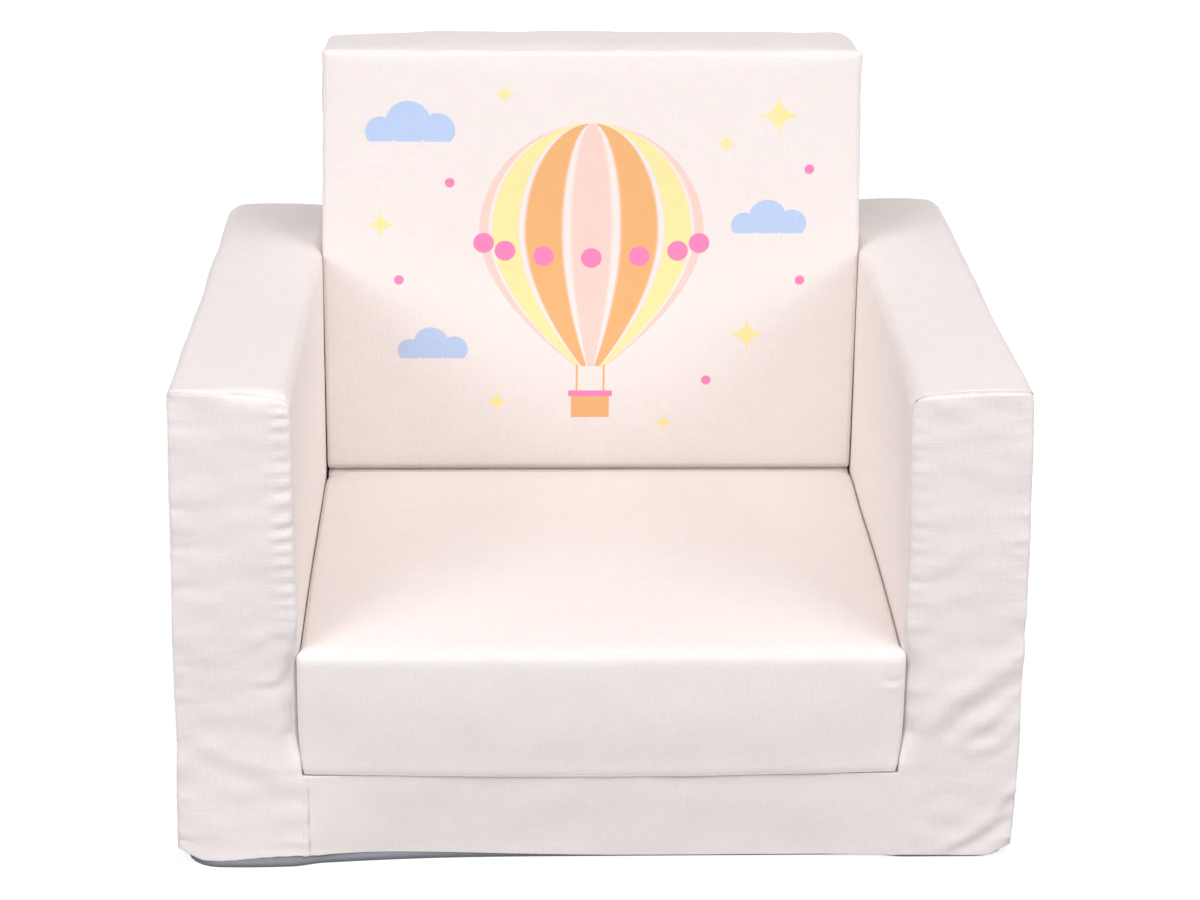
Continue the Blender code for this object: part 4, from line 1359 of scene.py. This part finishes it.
def balloon_print(cloth, shade, uneven):
    """A hot-air balloon between clouds and small stars, printed on the front panel."""
    x, y, z = cloth.parts(cloth.node("ShaderNodeTexCoord", output="Object"))
    on_face = (BACK_CROWN + back_near[1] + 0.004 - y).maths("GREATER_THAN", 0)

    def ink(mask, colour):
        nonlocal shade
        shade = cloth.mixed(mask * on_face, shade, cloth.toned(colour[:3], uneven))

    def filled(depth):
        """1 where depth, the distance inside a shape, is above nought."""
        return (depth / INK_EDGE).maths("ADD", 0.5, clamp=True)

    def disc(across, up, radius):
        away_x = x - across
        away_z = z - up
        return radius - (away_x * away_x + away_z * away_z).maths("SQRT")

    def star(across, up, radius):
        away = (x - across).maths("ABSOLUTE").maths("SQRT") + (z - up).maths("ABSOLUTE").maths("SQRT")
        return (math.sqrt(radius) - away) * math.sqrt(radius)

    def block(across, up, half_wide, half_high):
        wide = half_wide - (x - across).maths("ABSOLUTE")
        return wide.maths("MINIMUM", half_high - (z - up).maths("ABSOLUTE"))

    height = (z - BALLOON_HEIGHT) / BALLOON_RADIUS
    above = height.maths("MAXIMUM", 0)
    below = (height * (-1 / BALLOON_DROP)).maths("MAXIMUM", 0)
    dome = (1 - above * above).maths("MAXIMUM", 0.0).maths("SQRT")
    taper = 1 - below.maths("POWER", 1.8) * 0.86
    half_wide = (dome * taper * BALLOON_RADIUS).maths("MAXIMUM", 0.0001)
    inside = half_wide - x.maths("ABSOLUTE")
    inside = inside.maths("MINIMUM", (height + BALLOON_DROP) * BALLOON_RADIUS)
    inside = inside.maths("MINIMUM", (1 - height) * BALLOON_RADIUS)
    bulge = (x / half_wide).maths("MAXIMUM", -1).maths("MINIMUM", 1).maths("ARCSINE")
    from_middle = (bulge * (GORES / math.pi)).maths("ABSOLUTE")
    ring = (from_middle + 0.5).maths("FLOOR")
    seam = 0.5 - (from_middle - ring).maths("ABSOLUTE")
    envelope = filled(inside) * (seam * 12).maths("ADD", -0.6, clamp=True)
    ink(envelope, PEACH)
    for number, colour in ((1, TAN), (2, YELLOW)):
        ink(envelope * ring.maths("COMPARE", number, 0.4), colour)
    mouth = BALLOON_HEIGHT - BALLOON_RADIUS * BALLOON_DROP
    shapes = []
    for turn in range(-3, 4):
        angle = turn * math.pi / GORES
        belt_x = BELT_REACH * math.sin(angle)
        belt_z = BALLOON_HEIGHT - BELT_DROP - BELT_SAG * math.cos(angle)
        shapes.append((disc(belt_x, belt_z, BELT_SPOT), HOT_PINK))
    for rope_x in (-ROPE_SPREAD, ROPE_SPREAD):
        shapes.append((block(rope_x, mouth - 0.010, 0.0007, 0.011), TAN))
    shapes.append((block(0, mouth - BASKET_DROP, 0.0135, 0.0095), TAN))
    shapes.append((block(0, mouth - BASKET_DROP + 0.0085, 0.0155, 0.0022), HOT_PINK))
    for cloud_x, cloud_z, size in CLOUDS:
        middle = face_middle + cloud_z
        puffs = disc(cloud_x, middle + 0.006 * size, 0.0155 * size)
        puffs = puffs.maths("MAXIMUM", disc(cloud_x - 0.019 * size, middle, 0.0105 * size))
        puffs = puffs.maths("MAXIMUM", disc(cloud_x + 0.020 * size, middle + 0.001, 0.0120 * size))
        shapes.append((puffs.maths("MINIMUM", z - (middle - 0.007 * size)), PERIWINKLE))
    shapes += [(star(across, face_middle + up, size), YELLOW) for across, up, size in STARS]
    shapes += [(disc(across, face_middle + up, DOT_RADIUS), HOT_PINK) for across, up in DOTS]
    for depth, colour in shapes:
        ink(filled(depth), colour)
    return shade


printed_cloth = woven_cloth("printed_cloth", CLOTH_COLOUR, balloon_print)
back_edges = ((BACK_EDGE, BACK_EDGE), (BACK_EDGE, BACK_REAR_EDGE), (BACK_LOW_EDGE, BACK_EDGE))
back_slab = cloth_block(
    "back_cushion", back_near, back_far, back_edges, printed_cloth, back_shape, back_relief, back_settle
)
back_solids = ("back_front_panel", "back_side_band", "back_rear_panel", "back_foam")
belongs(back_slab, "back_slab", "printed_cloth", *back_solids)
back_zip_middle = (0, back_zip_y, back_near[2] - ZIP_PROUD + ZIP_CHANNEL)
make_zip("back", back_zip_middle, (0, 1, 0), (0, 0, -1), "back_slab")

# Hinges
# Strips of the cover's cloth. A flap, folded once, joins the base's front edge to the seat's lower front
# edge; it draws out when the seat turns over, but is built here only as it lies at rest. A tape joins the
# seat's rear end to the back's lower end.
HINGE_THICK = 0.0004
HINGE_STEP = 0.0016
TAPE_BEYOND = 0.0115
TAPE_PROUD = 0.0003
TAPE_BEND = ((0.0, 0.0056), (0.0005, 0.0038), (0.0018, 0.0026), (0.0044, 0.0019))
TAPE_FLAT_FROM = 0.0085
FLAP_BEND = 0.0004
FLAP_TUCK = 0.0002
hinge_cloth = woven_cloth("hinge_cloth", printed(238, 223, 218))


def hinge_strip(name, section, half_length):
    """A strip of cloth along X, from its section in Y and Z, and the section's length."""
    runs = run_lengths(np.array(section))
    stops = np.linspace(0, runs[-1], round(runs[-1] / HINGE_STEP) + 1)
    fine = np.stack([np.interp(stops, runs, axis) for axis in zip(*section)], axis=1)
    points = np.array([[(x, y, z) for y, z in fine] for x in np.linspace(-half_length, half_length, 72)])
    return thickened(cloth_grid(name, points, hinge_cloth), HINGE_THICK, 0.0), float(runs[-1])


flap_low, flap_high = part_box("flip_flap_lower")
flap_far = 2 * flap_high.y - flap_low.y
for word, tuck in (("lower", FLAP_TUCK), ("upper", -FLAP_TUCK)):
    low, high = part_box(f"flip_flap_{word}")
    flap_z = (low.z + high.z) / 2
    section = [(flap_low.y, flap_z), (flap_high.y - FLAP_BEND, flap_z), (flap_high.y, flap_z + tuck)]
    flap, length = hinge_strip(f"flip_flap_{word}_cloth", section, flap_high.x)
    start, end = [Vector((0, y, flap_z)) for y in sorted((flap_low.y, flap_far), reverse=tuck < 0)]
    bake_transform(flap)
    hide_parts(f"flip_flap_{word}")

tape_low, tape_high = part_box("fold_tape_seat")
tape_y = seat_far[1] + TAPE_PROUD
tape_z = back_near[2] - TAPE_PROUD
tape_far = back_near[1] - BACK_CROWN + seat_top - tape_low.z
tape_section = [
    (tape_y, tape_low.z),
    *[(tape_y + out, seat_top - down) for out, down in TAPE_BEND],
    (tape_y + TAPE_FLAT_FROM, tape_z),
    (tape_far, tape_z),
]
tape_half = tape_high.x + TAPE_BEYOND
fold_tape, tape_length = hinge_strip("fold_tape", tape_section, tape_half)
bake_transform(fold_tape)
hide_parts("fold_tape_seat", "fold_tape_back")
